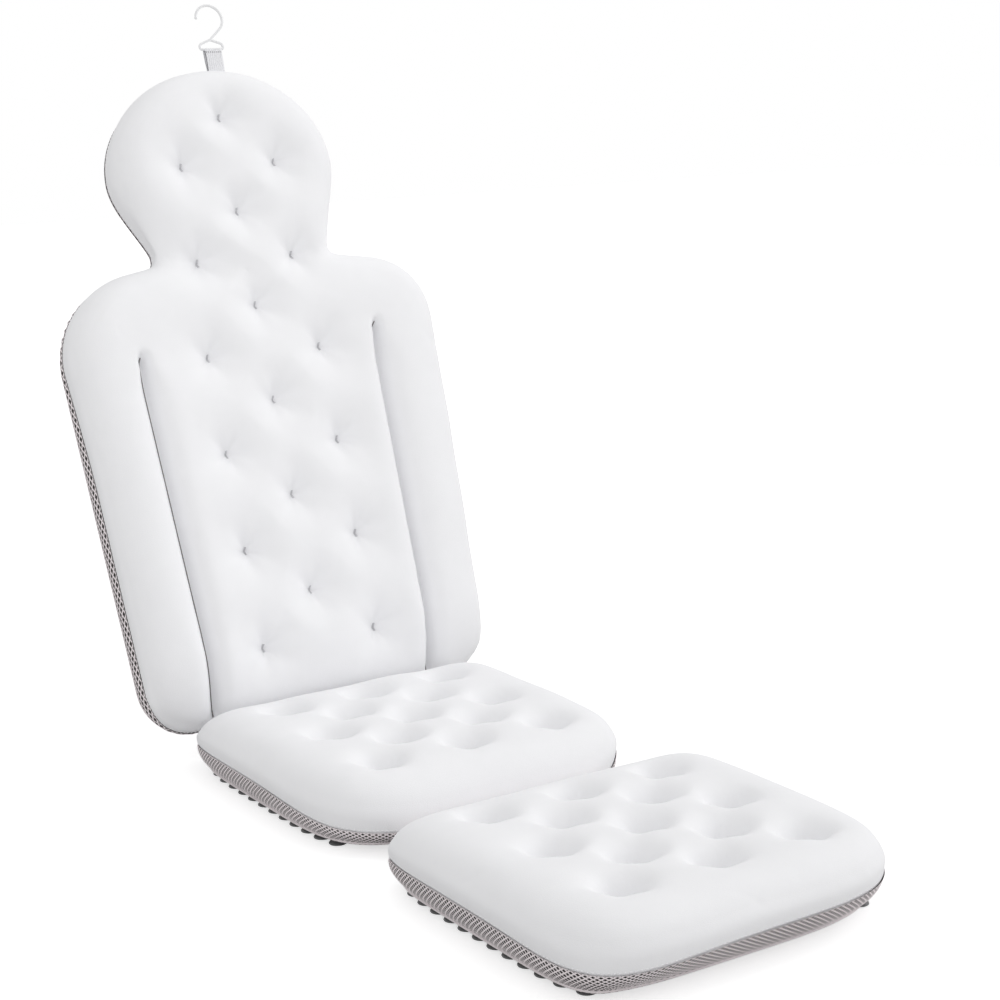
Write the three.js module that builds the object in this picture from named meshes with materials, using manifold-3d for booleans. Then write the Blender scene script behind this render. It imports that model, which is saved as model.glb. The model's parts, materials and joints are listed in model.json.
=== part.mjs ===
// Full-body bath pillow: a reclined back with a head, a seat pad and a leg pad.
// Each panel is a quilted cover over fibre fill on a shallow air-mesh box.
// The panels fold on fabric strips, the pads grip on rows of suction cups,
// and a strap at the head carries a hanging hook.
// Millimetres, +Z up, +Y towards the head, origin on the floor under the middle of the box.

import * as THREE from 'three';
import { mergeVertices } from 'three/addons/utils/BufferGeometryUtils.js';
import Module from 'manifold-3d';

// Driving dimensions: seat and leg pads, at the sewn seam
const PAD_WIDTH = 300;
const SEAT_LENGTH = 311;
const LEG_LENGTH = 299;
const PAD_NEAR_SQUARENESS = 7;
const PAD_FAR_SQUARENESS = 3.9;

// Driving dimensions: back panel, at the sewn seam
const SHOULDER_WIDTH = 376;
const HIP_WIDTH = 348;
const SHOULDER_HEIGHT = 425;
const SHOULDER_RADIUS = 62;
const SHOULDER_SLOPE = 8;
const HIP_RADIUS = 46;
const NECK_WIDTH = 162;
const NECK_FILLET = 14;
const NECK_LEAN = 24;
const NECK_RISE = 74;
const HEAD_WIDTH = 222;
const HEAD_CROWN = 95;

// Driving dimensions: section through a panel
const WALL_HEIGHT = 24;
const FOLD_WALL_HEIGHT = 12;
const HEAD_WALL_HEIGHT = 6;
const WALL_TAPER_START = 220;
const FOLD_BLEND = 34;
const CROWN_HEIGHT = 34;
const PUFF_DEPTH = 40;
const BACK_PUFF_DEPTH = 34;
const SIDE_BULGE = 4;
const PUFF_POWER = 1.3;
const PAD_WALL_INSET = 10;
const TOE_WALL_INSET = 20;
const BACK_WALL_INSET = 1.5;
const COVER_THICKNESS = 2;
const FILL_LOFT = 7;
const MESH_THICKNESS = 2.4;
const BASE_THICKNESS = 2;

// Driving dimensions: folds and pose
const RECLINE_DEGREES = 72.4;
const BACK_TO_FOLD = 10;
const SEAT_TO_BACK_FOLD = 9.5;
const PAD_TO_LEG_FOLD = 16.5;
const SEAT_FOLD_CROWN = 0.6;
const PAD_FOLD_CROWN = 0.8;
const PAD_CROWN_RAMP = 60;
const BACK_FOLD_CROWN = 0.6;
const BACK_CROWN_RAMP = 70;
const FOLD_STRIP_WIDTH = 200;
const FOLD_STRIP_THICKNESS = 1.5;
const FOLD_STRIP_DROP = 1;

// Driving dimensions: sewn tufts and channels
const TUFT_DEPTH = 19;
const TUFT_REACH = 20;
const PAD_TUFT_COLUMN = 41;
const PAD_TUFT_ROW = 43;
const PAD_TUFT_MIDDLE = 149.5;
const BACK_TUFT_ROW = 45.5;
const BACK_TUFT_SIDE = 58;
const HEAD_TUFT_SIDE = 48;
const BACK_FIRST_TUFT = 62.5;
const BACK_TUFT_ROWS = 12;
const HEAD_TUFT_ROWS = 4;
const CHANNEL_DEPTH = 24;
const CHANNEL_REACH = 12;
const CHANNEL_START = 10;
const CHANNEL_LENGTH = 333;
const CHANNEL_OFFSET = 113;
const CHANNEL_SPREAD = 9;
const CHANNEL_FADE = 18;

// Driving dimensions: suction cup strips
const CUP_HEIGHT = 3.8;
const CUP_RADIUS = 7.6;
const CUP_LIP = 1.8;
const CUP_DISH = 1.8;
const CUP_STEM_RADIUS = 4.6;
const CUP_STEM_HEIGHT = 1;
const CUP_PITCH = 19.5;
const CUP_NEAR_MARGIN = 16;
const CUP_FAR_MARGIN = 46;
const CUP_EDGE_MARGIN = 9.5;
const CUP_STRIP_WIDTH = 10;
const CUP_STRIP_THICKNESS = 1.4;

// Driving dimensions: hanging loop and hook
const LOOP_OFFSET = 14.2;
const LOOP_WIDTH = 17;
const LOOP_LENGTH = 26;
const LOOP_LAYER = 1;
const LOOP_COVER_FULLNESS = 0.7;
const HOOK_WIRE_RADIUS = 1.3;
const HOOK_BAR_CLEARANCE = 0.4;
const HOOK_BOW_RADIUS = 13.6;
const HOOK_BOW_HEIGHT = 30;
const HOOK_BOW_OFFSET = 3;
const HOOK_BAR_OVERHANG = 3.6;
const HOOK_EYE_SHOULDER = 5;
const HOOK_EYE_TOP = 9.5;
const HOOK_CORNER = 2.5;
const HOOK_TIP_DEGREES = 178;
const HOOK_TURN_DEGREES = -28;

// Clearances: between sewn layers, and between pieces that are sewn edge to edge
const LAYER_GAP = 0.4;
const SEWN_GAP = 0.3;

// Mesh densities
const PAD_RING_COUNT = 56;
const BACK_RING_COUNT = 88;
const PAD_PUFF_STEPS = 4;
const BACK_PUFF_STEPS = 3;
const FILL_PUFF_STEPS = 2;
const OUTLINE_SAMPLES = 600;
const LATTICE_CLEAR = 0.55;
const SWAP_ANGLE = 1e-6;
const ON_EDGE = 1e-7;
const STRIP_STEPS = 12;
const CUP_SIDES = 8;
const STRIP_SIDES = 12;
const WIRE_QUARTERS = 3;
const BOW_STEPS = 10;
const LOOP_SEGMENTS = 8;
const SHANK_STEPS = 36;
const EYE_STEPS = 36;

// Levels above the floor, and heights above the fold axis
const baseUnderside = CUP_HEIGHT + CUP_STRIP_THICKNESS + SEWN_GAP;
const foldLevel = baseUnderside + FOLD_WALL_HEIGHT;
const seamRise = WALL_HEIGHT - FOLD_WALL_HEIGHT;
const crownRise = seamRise + CROWN_HEIGHT;
const baseBottom = -FOLD_WALL_HEIGHT;
const baseTop = baseBottom + BASE_THICKNESS;
const recline = THREE.MathUtils.degToRad(RECLINE_DEGREES);
const foldPitch = SEAT_TO_BACK_FOLD + SEAT_LENGTH + PAD_TO_LEG_FOLD;

const wasm = await Module();
wasm.setup();

const fabricWhite = new THREE.MeshStandardMaterial({ color: 0xf1f1f4, roughness: 0.95, metalness: 0 });
const fibreFill = new THREE.MeshStandardMaterial({ color: 0xfafafa, roughness: 1, metalness: 0 });
const airMesh = new THREE.MeshStandardMaterial({ color: 0xb9b1b0, roughness: 0.9, metalness: 0 });
const greyRubber = new THREE.MeshStandardMaterial({ color: 0x4a4b4d, roughness: 0.45, metalness: 0 });
const webbing = new THREE.MeshStandardMaterial({ color: 0xd9d9dc, roughness: 0.9, metalness: 0 });
const hookPlastic = new THREE.MeshStandardMaterial({ color: 0xf3f4f5, roughness: 0.3, metalness: 0 });

// Smooth step from 0 to 1 over a span
function ease(value, span) {
  return THREE.MathUtils.smoothstep(value, 0, span);
}

// Geometry from points and triangles, turned to face outwards
function closedBody(points, triangles) {
  const positions = new Float32Array(points.flatMap((p) => [p.x, p.y, p.z]));
  const volume = triangles.reduce((sum, [a, b, c]) => {
    const cross = new THREE.Vector3().crossVectors(points[b], points[c]);
    return sum + points[a].dot(cross);
  }, 0);
  const faces = volume > 0 ? triangles : triangles.map(([a, b, c]) => [a, c, b]);
  const geometry = new THREE.BufferGeometry();
  geometry.setAttribute('position', new THREE.BufferAttribute(positions, 3));
  geometry.setIndex(faces.flat());
  return geometry;
}

function namedMesh(name, geometry, material) {
  const mesh = new THREE.Mesh(geometry, material.clone());
  mesh.name = name;
  return mesh;
}

// Closed ring of evenly spaced points from the right half of an outline, mirrored to the left.
// Each point carries its outward normal.
function outlineRing(halfOutline, count) {
  const curve = new THREE.CatmullRomCurve3(halfOutline.map((p) => new THREE.Vector3(p.x, p.y, 0)));
  curve.arcLengthDivisions = OUTLINE_SAMPLES;
  const right = curve.getSpacedPoints(count / 2);
  right[0].x = 0;
  right[count / 2].x = 0;
  const left = right.slice(1, -1).reverse().map((p) => new THREE.Vector3(-p.x, p.y, 0));
  const loop = [...right, ...left];
  return loop.map((p, i) => {
    const before = loop[(i + count - 1) % count];
    const after = loop[(i + 1) % count];
    const tangent = new THREE.Vector3().subVectors(after, before).normalize();
    return { x: p.x, v: p.y, nx: tangent.y, nv: -tangent.x };
  });
}

// Right half of a pad's outline: a rounded square, from the edge nearest the head to the far edge
function padOutline(nearEdge, length) {
  return Array.from({ length: OUTLINE_SAMPLES + 1 }, (_, i) => {
    const angle = Math.PI * (i / OUTLINE_SAMPLES - 0.5);
    const power = 2 / (angle < 0 ? PAD_NEAR_SQUARENESS : PAD_FAR_SQUARENESS);
    const across = (PAD_WIDTH / 2) * Math.pow(Math.max(Math.cos(angle), 0), power);
    const along = (length / 2) * Math.sign(angle) * Math.pow(Math.abs(Math.sin(angle)), power);
    return { x: across, y: nearEdge + length / 2 + along };
  });
}

// Distance of a pad's end edge from its end line, at a distance across from the middle
function padEndBow(across, length, squareness) {
  const ratio = Math.abs(across) / (PAD_WIDTH / 2);
  return (length / 2) * (1 - Math.pow(1 - Math.pow(ratio, squareness), 1 / squareness));
}

const shoulderLine = BACK_TO_FOLD + SHOULDER_HEIGHT;
const headCentre = shoulderLine + NECK_FILLET + NECK_RISE;
const headTop = headCentre + HEAD_CROWN;

// Right half of the back's outline: hip corner, side, sloping shoulder, neck and head
function backOutline() {
  const hip = HIP_WIDTH / 2;
  const head = HEAD_WIDTH / 2;
  const lean = THREE.MathUtils.degToRad(NECK_LEAN);
  const slope = THREE.MathUtils.degToRad(SHOULDER_SLOPE);
  const fillet = new THREE.Vector2(NECK_WIDTH / 2 + NECK_FILLET, shoulderLine + NECK_FILLET);
  const onFillet = (x, v) => new THREE.Vector2(x, v).multiplyScalar(NECK_FILLET).add(fillet);
  const neckRoot = onFillet(-Math.sin(slope), -Math.cos(slope));
  const neckEnd = onFillet(-Math.cos(lean), Math.sin(lean));
  const cornerX = SHOULDER_WIDTH / 2 - SHOULDER_RADIUS;
  const shoulderRun = cornerX + SHOULDER_RADIUS * Math.sin(slope) - neckRoot.x;
  const cornerV = neckRoot.y - shoulderRun * Math.tan(slope) - SHOULDER_RADIUS * Math.cos(slope);
  const reach = (headCentre - neckEnd.y) / 3;
  const path = new THREE.Path();
  path.moveTo(0, BACK_TO_FOLD);
  path.lineTo(hip - HIP_RADIUS, BACK_TO_FOLD);
  path.absarc(hip - HIP_RADIUS, BACK_TO_FOLD + HIP_RADIUS, HIP_RADIUS, -Math.PI / 2, 0, false);
  path.lineTo(SHOULDER_WIDTH / 2, cornerV);
  path.absarc(cornerX, cornerV, SHOULDER_RADIUS, 0, Math.PI / 2 - slope, false);
  path.lineTo(neckRoot.x, neckRoot.y);
  path.absarc(fillet.x, fillet.y, NECK_FILLET, -Math.PI / 2 - slope, -Math.PI - lean, true);
  path.bezierCurveTo(
    neckEnd.x + reach * Math.sin(lean), neckEnd.y + reach * Math.cos(lean),
    head, headCentre - reach,
    head, headCentre,
  );
  path.absellipse(0, headCentre, head, HEAD_CROWN, 0, Math.PI / 2, false, 0);
  path.arcLengthDivisions = OUTLINE_SAMPLES;
  return path.getSpacedPoints(OUTLINE_SAMPLES);
}

// Dimple that a sewn tuft pulls into the cover
function tuftDip(x, v, tufts) {
  return tufts.reduce((dip, tuft) => {
    const distance = Math.hypot(x - tuft.x, v - tuft.v) / TUFT_REACH;
    return Math.max(dip, 0) + TUFT_DEPTH * Math.exp(-distance * distance);
  }, 0);
}

// Tufts of a pad: rows of three and two in turn, set out from the edge nearest the feet
function padTufts(farEdge) {
  const middle = farEdge - PAD_TUFT_MIDDLE;
  return [-2, -1, 0, 1, 2].flatMap((row) => {
    const columns = row % 2 === 0 ? [-2, 0, 2] : [-1, 1];
    return columns.map((column) => ({ x: column * PAD_TUFT_COLUMN, v: middle + row * PAD_TUFT_ROW }));
  });
}

// Tufts of the back: pairs and single ones in turn, drawn in at the neck and head
function backTufts() {
  return Array.from({ length: BACK_TUFT_ROWS }, (_, row) => {
    const v = BACK_TO_FOLD + BACK_FIRST_TUFT + row * BACK_TUFT_ROW;
    const side = row < BACK_TUFT_ROWS - HEAD_TUFT_ROWS ? BACK_TUFT_SIDE : HEAD_TUFT_SIDE;
    return row % 2 === 0 ? [{ x: -side, v }, { x: side, v }] : [{ x: 0, v }];
  }).flat();
}

// Distance of a side channel from the middle, and how deep it is sewn, along the back
const channelFoot = BACK_TO_FOLD + CHANNEL_START;
function channelOffset(v) {
  return CHANNEL_OFFSET + CHANNEL_SPREAD * (v - channelFoot) / CHANNEL_LENGTH;
}
function channelDip(x, v) {
  const along = ease(v - channelFoot, CHANNEL_FADE) * ease(channelFoot + CHANNEL_LENGTH - v, CHANNEL_FADE);
  const distance = (Math.abs(x) - channelOffset(v)) / CHANNEL_REACH;
  return CHANNEL_DEPTH * along * Math.exp(-distance * distance);
}

// Share of the full crown near a fold
function foldCrown(distance, share, ramp) {
  return share + (1 - share) * ease(distance, ramp);
}

// A panel's outline, heights and sewing; v runs along the body away from the panel's own fold
function padPanel(name, nearEdge, length, nearCrown, foldAtFarEdge) {
  const farEdge = nearEdge + length;
  const tufts = padTufts(farEdge);
  const fromFold = (v) => (foldAtFarEdge ? Math.min(v - nearEdge, farEdge - v) : v - nearEdge);
  return {
    name,
    along: -1,
    ring: outlineRing(padOutline(nearEdge, length), PAD_RING_COUNT),
    puffDepth: PUFF_DEPTH,
    coverMesh: { steps: PAD_PUFF_STEPS, x: PAD_TUFT_COLUMN / 3, v: PAD_TUFT_ROW / 3 },
    fillMesh: { steps: FILL_PUFF_STEPS, x: PAD_TUFT_COLUMN / 2, v: PAD_TUFT_ROW / 2 },
    latticeStart: farEdge - PAD_TUFT_MIDDLE,
    marks: [],
    fromFold,
    wallHeight: () => WALL_HEIGHT,
    wallInset: (p) => {
      const toe = foldAtFarEdge ? 0 : Math.max(p.nv, 0) ** 2;
      return PAD_WALL_INSET + (TOE_WALL_INSET - PAD_WALL_INSET) * toe;
    },
    crown: (x, v) => {
      const near = foldCrown(v - nearEdge, nearCrown, PAD_CROWN_RAMP);
      const far = foldAtFarEdge ? foldCrown(farEdge - v, PAD_FOLD_CROWN, PAD_CROWN_RAMP) : 1;
      return crownRise * near * far - tuftDip(x, v, tufts);
    },
  };
}

function backPanel() {
  const tufts = backTufts();
  const fromFold = (v) => v - BACK_TO_FOLD;
  const steps = Math.round(CHANNEL_LENGTH / BACK_TUFT_ROW * 2);
  const marks = Array.from({ length: steps + 1 }, (_, i) => {
    const v = channelFoot + BACK_PUFF_DEPTH / 2 + (CHANNEL_LENGTH - BACK_PUFF_DEPTH / 2) * (i / steps);
    const across = [-CHANNEL_REACH, 0, CHANNEL_REACH].map((side) => channelOffset(v) + side);
    return across.flatMap((x) => [{ x, v }, { x: -x, v }]);
  }).flat();
  return {
    name: 'back',
    along: 1,
    ring: outlineRing(backOutline(), BACK_RING_COUNT),
    puffDepth: BACK_PUFF_DEPTH,
    coverMesh: { steps: BACK_PUFF_STEPS, x: BACK_TUFT_SIDE / 2, v: BACK_TUFT_ROW / 2 },
    fillMesh: { steps: FILL_PUFF_STEPS, x: BACK_TUFT_SIDE / 2, v: BACK_TUFT_ROW / 2 },
    latticeStart: BACK_TO_FOLD + BACK_FIRST_TUFT,
    marks: marks.filter((p) => p.v > BACK_TO_FOLD + BACK_PUFF_DEPTH + CHANNEL_REACH / 2),
    fromFold,
    wallHeight: (v) => {
      const up = THREE.MathUtils.smoothstep(fromFold(v), WALL_TAPER_START, SHOULDER_HEIGHT);
      return THREE.MathUtils.lerp(WALL_HEIGHT, HEAD_WALL_HEIGHT, up);
    },
    wallInset: () => BACK_WALL_INSET,
    crown: (x, v) => {
      const full = crownRise * foldCrown(fromFold(v), BACK_FOLD_CROWN, BACK_CROWN_RAMP);
      return full - tuftDip(x, v, tufts) - channelDip(x, v);
    },
  };
}

// Height of the seam above the fold axis: full on the free sides, level with the axis at a fold
function seamHeight(panel, v) {
  return (panel.wallHeight(v) - FOLD_WALL_HEIGHT) * ease(panel.fromFold(v), FOLD_BLEND);
}

// Twice the area of a triangle in the plane, positive where it turns to the left
function turnArea(a, b, p) {
  return (b.x - a.x) * (p.v - a.v) - (b.v - a.v) * (p.x - a.x);
}

// True where the edge between two triangles is better laid the other way across their four corners
function swapsEdge(from, to, one, other) {
  const angleAt = (p) => {
    const [ax, av] = [from.x - p.x, from.v - p.v];
    const [bx, bv] = [to.x - p.x, to.v - p.v];
    return Math.atan2(Math.abs(ax * bv - av * bx), ax * bx + av * bv);
  };
  return angleAt(one) + angleAt(other) > Math.PI + SWAP_ANGLE;
}

// Triangles over a ring of points and the points inside it, with every edge of the ring kept
function ringTriangles(rim, inner) {
  const points = [...rim, ...inner];
  const contour = rim.map((p) => new THREE.Vector2(p.x, p.v));
  const triangles = THREE.ShapeUtils.triangulateShape(contour, []);
  const next = (abc, i) => abc[(i + 1) % abc.length];
  const holds = (point) => (abc) => abc.every((a, i) => turnArea(points[a], points[next(abc, i)], point) > -ON_EDGE);
  const withEdge = (from, to) => triangles.findIndex((abc) => abc.some((a, i) => a === from && next(abc, i) === to));
  inner.forEach((point, k) => {
    const added = rim.length + k;
    const home = triangles.findIndex(holds(point));
    const [a, b, c] = triangles[home];
    const edges = [[a, b], [b, c], [c, a]];
    triangles.splice(home, 1, ...edges.map(([from, to]) => [from, to, added]));
    while (edges.length > 0) {
      const [from, to] = edges.pop();
      const own = withEdge(from, to);
      const beyond = withEdge(to, from);
      const apex = beyond < 0 ? added : triangles[beyond].find((i) => i !== from && i !== to);
      if (beyond >= 0 && swapsEdge(points[from], points[to], point, points[apex])) {
        triangles[own] = [from, apex, added];
        triangles[beyond] = [apex, to, added];
        edges.push([from, apex], [apex, to]);
      }
    }
  });
  return triangles;
}

// True where a point lies inside a ring of points
function insideRing(point, ring) {
  return ring.reduce((inside, a, i) => {
    const b = ring[(i + 1) % ring.length];
    const crosses = (a.v > point.v) !== (b.v > point.v);
    const at = a.x + (b.x - a.x) * (point.v - a.v) / (b.v - a.v);
    return crosses && point.x < at ? !inside : inside;
  }, false);
}

function nearest(point, others) {
  return Math.min(...others.map((p) => Math.hypot(p.x - point.x, p.v - point.v)));
}

// Points inside a ring: sewing marks, then a lattice lined up with the tufts
function innerPoints(panel, detail, ring) {
  const spacing = Math.min(detail.x, detail.v);
  const span = Math.ceil(headTop / spacing);
  const steps = Array.from({ length: 2 * span + 1 }, (_, i) => i - span);
  const grid = steps.flatMap((i) => steps.map((j) => ({
    x: i * detail.x,
    v: panel.latticeStart + j * detail.v,
  })));
  const inRing = (clear) => (p) => insideRing(p, ring) && nearest(p, ring) > clear;
  const marks = panel.marks.filter(inRing(CHANNEL_REACH / 2));
  const free = (p) => marks.length === 0 || nearest(p, marks) > spacing * LATTICE_CLEAR;
  return [...marks, ...grid.filter(inRing(spacing * LATTICE_CLEAR)).filter(free)];
}

// Outer skin of a quilted cover: rings that puff up from the seam, then the tufted top
function coverSkin(panel, detail) {
  const { ring, puffDepth } = panel;
  const count = ring.length;
  const plan = [];
  for (let step = 0; step <= detail.steps; step += 1) {
    const turn = (Math.PI / 2) * (step / detail.steps);
    ring.forEach((p) => {
      const free = ease(panel.fromFold(p.v), FOLD_BLEND);
      const bulge = free * SIDE_BULGE * Math.sin(2 * turn);
      const inset = puffDepth * Math.pow(1 - Math.cos(turn), PUFF_POWER) - bulge;
      const seam = seamHeight(panel, p.v);
      plan.push({ x: p.x - inset * p.nx, v: p.v - inset * p.nv, rise: Math.sin(turn), seam });
    });
  }
  const rim = plan.slice(-count);
  const inner = innerPoints(panel, detail, rim).map((p) => ({ ...p, rise: 1, seam: 0 }));
  const offset = detail.steps * count;
  const triangles = ringTriangles(rim, inner).map((abc) => abc.map((i) => i + offset));
  for (let step = 0; step < detail.steps; step += 1) {
    triangles.push(...band(step * count, (step + 1) * count, count));
  }
  const points = [...plan, ...inner].map((p) => {
    const h = p.seam + (panel.crown(p.x, p.v) - p.seam) * p.rise;
    return new THREE.Vector3(p.x, p.v, h);
  });
  return { points, triangles };
}

// Triangles between two rings of points; both rings run the same way round
function band(from, to, count) {
  return Array.from({ length: count }, (_, i) => {
    const next = (i + 1) % count;
    return [[from + i, from + next, to + next], [from + i, to + next, to + i]];
  }).flat();
}

// Unit normals of a skin, level and outwards along the seam
function skinNormals(skin, ring) {
  const normals = skin.points.map(() => new THREE.Vector3());
  skin.triangles.forEach((abc) => {
    const [a, b, c] = abc.map((i) => skin.points[i]);
    const face = new THREE.Vector3().subVectors(b, a).cross(new THREE.Vector3().subVectors(c, a));
    abc.forEach((i) => normals[i].add(face));
  });
  normals.forEach((n) => n.normalize());
  ring.forEach((p, i) => normals[i].set(p.nx, p.nv, 0));
  return normals;
}

// Points of a skin moved inwards
function insetSkin(skin, ring, depth, seamDepth) {
  const normals = skinNormals(skin, ring);
  return skin.points.map((p, i) => {
    const move = i < ring.length ? seamDepth : depth;
    return p.clone().addScaledVector(normals[i], -move);
  });
}

const flipped = (triangles, offset) => triangles.map(([a, b, c]) => [a + offset, c + offset, b + offset]);

// Panel points to the panel group's own axes
function laid(panel, points) {
  return points.map((p) => new THREE.Vector3(p.x, panel.along * p.y, p.z));
}

// Quilted top cover, a thin shell that is open at the seam
function topCover(panel) {
  const skin = coverSkin(panel, panel.coverMesh);
  const total = skin.points.length;
  const inside = insetSkin(skin, panel.ring, COVER_THICKNESS, COVER_THICKNESS);
  const points = [...skin.points, ...inside];
  const triangles = [
    ...skin.triangles,
    ...flipped(skin.triangles, total),
    ...band(total, 0, panel.ring.length),
  ];
  return namedMesh(`${panel.name}_top_cover`, closedBody(laid(panel, points), triangles), fabricWhite);
}

// Ring of points drawn in from the seam outline, at a height that may follow the outline
function insetRing(panel, inset, height) {
  return panel.ring.map((p) => {
    const move = inset(p);
    return new THREE.Vector3(p.x - move * p.nx, p.v - move * p.nv, height(p));
  });
}

function ringFaces(points, offset) {
  const contour = points.map((p) => new THREE.Vector2(p.x, p.y));
  return THREE.ShapeUtils.triangulateShape(contour, []).map((abc) => abc.map((i) => i + offset));
}

// Fibre fill, from under the cover down to the mesh base
function fibreFillBody(panel) {
  const skin = coverSkin(panel, panel.fillMesh);
  const count = panel.ring.length;
  const seamDepth = MESH_THICKNESS + LAYER_GAP;
  const top = insetSkin(skin, panel.ring, COVER_THICKNESS + FILL_LOFT, seamDepth);
  const floor = insetRing(panel, (p) => panel.wallInset(p) + seamDepth, () => baseTop + LAYER_GAP);
  const points = [...top, ...floor];
  const triangles = [
    ...skin.triangles,
    ...band(top.length, 0, count),
    ...flipped(ringFaces(floor, 0), top.length),
  ];
  return namedMesh(`${panel.name}_fill`, closedBody(laid(panel, points), triangles), fibreFill);
}

// Air-mesh wall: a closed band from the seam down to the base
function meshWall(panel) {
  const count = panel.ring.length;
  const upper = (p) => seamHeight(panel, p.v) - LAYER_GAP;
  const lower = () => baseTop + LAYER_GAP;
  const points = [
    ...insetRing(panel, () => 0, upper),
    ...insetRing(panel, (p) => panel.wallInset(p), lower),
    ...insetRing(panel, (p) => panel.wallInset(p) + MESH_THICKNESS, lower),
    ...insetRing(panel, () => MESH_THICKNESS, upper),
  ];
  const triangles = [0, 1, 2, 3].flatMap((side) => band(side * count, ((side + 1) % 4) * count, count));
  return namedMesh(`${panel.name}_mesh_wall`, closedBody(laid(panel, points), triangles), airMesh);
}

// Air-mesh base: a flat sheet under the wall
function meshBase(panel) {
  const count = panel.ring.length;
  const upper = insetRing(panel, (p) => panel.wallInset(p), () => baseTop);
  const lower = insetRing(panel, (p) => panel.wallInset(p), () => baseBottom);
  const faces = ringFaces(upper, 0);
  const triangles = [...faces, ...flipped(faces, count), ...band(count, 0, count)];
  const geometry = closedBody(laid(panel, [...upper, ...lower]), triangles);
  return namedMesh(`${panel.name}_mesh_base`, geometry, airMesh);
}

function addPanel(group, panel) {
  group.add(topCover(panel), fibreFillBody(panel), meshWall(panel), meshBase(panel));
}

// Flexible strip between two panels: across the fold in three lines, seen from the seat's own axes
function foldStrip(name, lines) {
  const points = [];
  for (let step = 0; step <= STRIP_STEPS; step += 1) {
    const across = FOLD_STRIP_WIDTH * (step / STRIP_STEPS - 0.5);
    lines.forEach((line) => points.push(...line(across)));
  }
  const section = lines.length * 2;
  const upper = lines.map((_, i) => i * 2);
  const lower = lines.map((_, i) => i * 2 + 1).reverse();
  const order = [...upper, ...lower];
  const triangles = [];
  for (let step = 0; step < STRIP_STEPS; step += 1) {
    order.forEach((from, i) => {
      const to = order[(i + 1) % section];
      const [a, b] = [step * section + from, step * section + to];
      triangles.push([a, b, b + section], [a, b + section, a + section]);
    });
  }
  const cap = order.slice(1, -1).map((from, i) => [order[0], from, order[i + 2]]);
  const end = STRIP_STEPS * section;
  triangles.push(...flipped(cap, 0), ...cap.map((abc) => abc.map((i) => i + end)));
  return namedMesh(name, closedBody(points, triangles), airMesh);
}

// Upper and lower point of a fold strip where it is sewn to a wall, along y and z
function stripEdge(across, along, turn) {
  const upper = new THREE.Vector3(across, along, -FOLD_STRIP_DROP);
  const lower = new THREE.Vector3(across, along, -FOLD_STRIP_DROP - FOLD_STRIP_THICKNESS);
  const axis = new THREE.Vector3(1, 0, 0);
  return [upper.applyAxisAngle(axis, turn), lower.applyAxisAngle(axis, turn)];
}

function backFoldStrip() {
  const seatEdge = SEAT_TO_BACK_FOLD - SEWN_GAP;
  const backEdge = BACK_TO_FOLD - SEWN_GAP;
  const seatBow = (across) => padEndBow(across, SEAT_LENGTH, PAD_NEAR_SQUARENESS);
  return foldStrip('back_fold_strip', [
    (across) => stripEdge(across, -seatEdge - seatBow(across), 0),
    (across) => stripEdge(across, 0, recline / 2),
    (across) => stripEdge(across, backEdge, recline),
  ]);
}

function legFoldStrip() {
  const edge = PAD_TO_LEG_FOLD - SEWN_GAP;
  const seatBow = (across) => padEndBow(across, SEAT_LENGTH, PAD_FAR_SQUARENESS);
  const legBow = (across) => padEndBow(across, LEG_LENGTH, PAD_NEAR_SQUARENESS);
  return foldStrip('leg_fold_strip', [
    (across) => stripEdge(across, -foldPitch - edge - legBow(across), 0),
    (across) => stripEdge(across, -foldPitch, 0),
    (across) => stripEdge(across, -foldPitch + edge + seatBow(across), 0),
  ]);
}

// Solid for joining and cutting, from a closed geometry
function solidOf(geometry) {
  const bare = geometry.clone();
  bare.deleteAttribute('normal');
  bare.deleteAttribute('uv');
  const merged = mergeVertices(bare, 1e-4);
  return new wasm.Manifold(new wasm.Mesh({
    numProp: 3,
    vertProperties: new Float32Array(merged.attributes.position.array),
    triVerts: new Uint32Array(merged.index.array),
  }));
}

function geometryOf(solid) {
  const mesh = solid.getMesh();
  const geometry = new THREE.BufferGeometry();
  geometry.setAttribute('position', new THREE.BufferAttribute(new Float32Array(mesh.vertProperties), 3));
  geometry.setIndex(Array.from(mesh.triVerts));
  return geometry;
}

// One suction cup: a stem that flares to a dished lip on the floor
function cupGeometry() {
  const profile = [
    [0, CUP_DISH],
    [CUP_RADIUS - CUP_LIP, 0],
    [CUP_RADIUS, 0],
    [CUP_STEM_RADIUS, CUP_HEIGHT - CUP_STEM_HEIGHT],
    [CUP_STEM_RADIUS, CUP_HEIGHT + CUP_STRIP_THICKNESS / 2],
    [0, CUP_HEIGHT + CUP_STRIP_THICKNESS / 2],
  ];
  const lathe = new THREE.LatheGeometry(profile.map(([r, z]) => new THREE.Vector2(r, z)), CUP_SIDES);
  return lathe.rotateX(Math.PI / 2);
}

// Half width of a pad at a distance from its fold
function padHalfWidth(v, nearEdge, length) {
  const along = (v - nearEdge - length / 2) / (length / 2);
  const squareness = along < 0 ? PAD_NEAR_SQUARENESS : PAD_FAR_SQUARENESS;
  return (PAD_WIDTH / 2) * Math.pow(1 - Math.pow(Math.abs(along), squareness), 1 / squareness);
}

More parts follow.
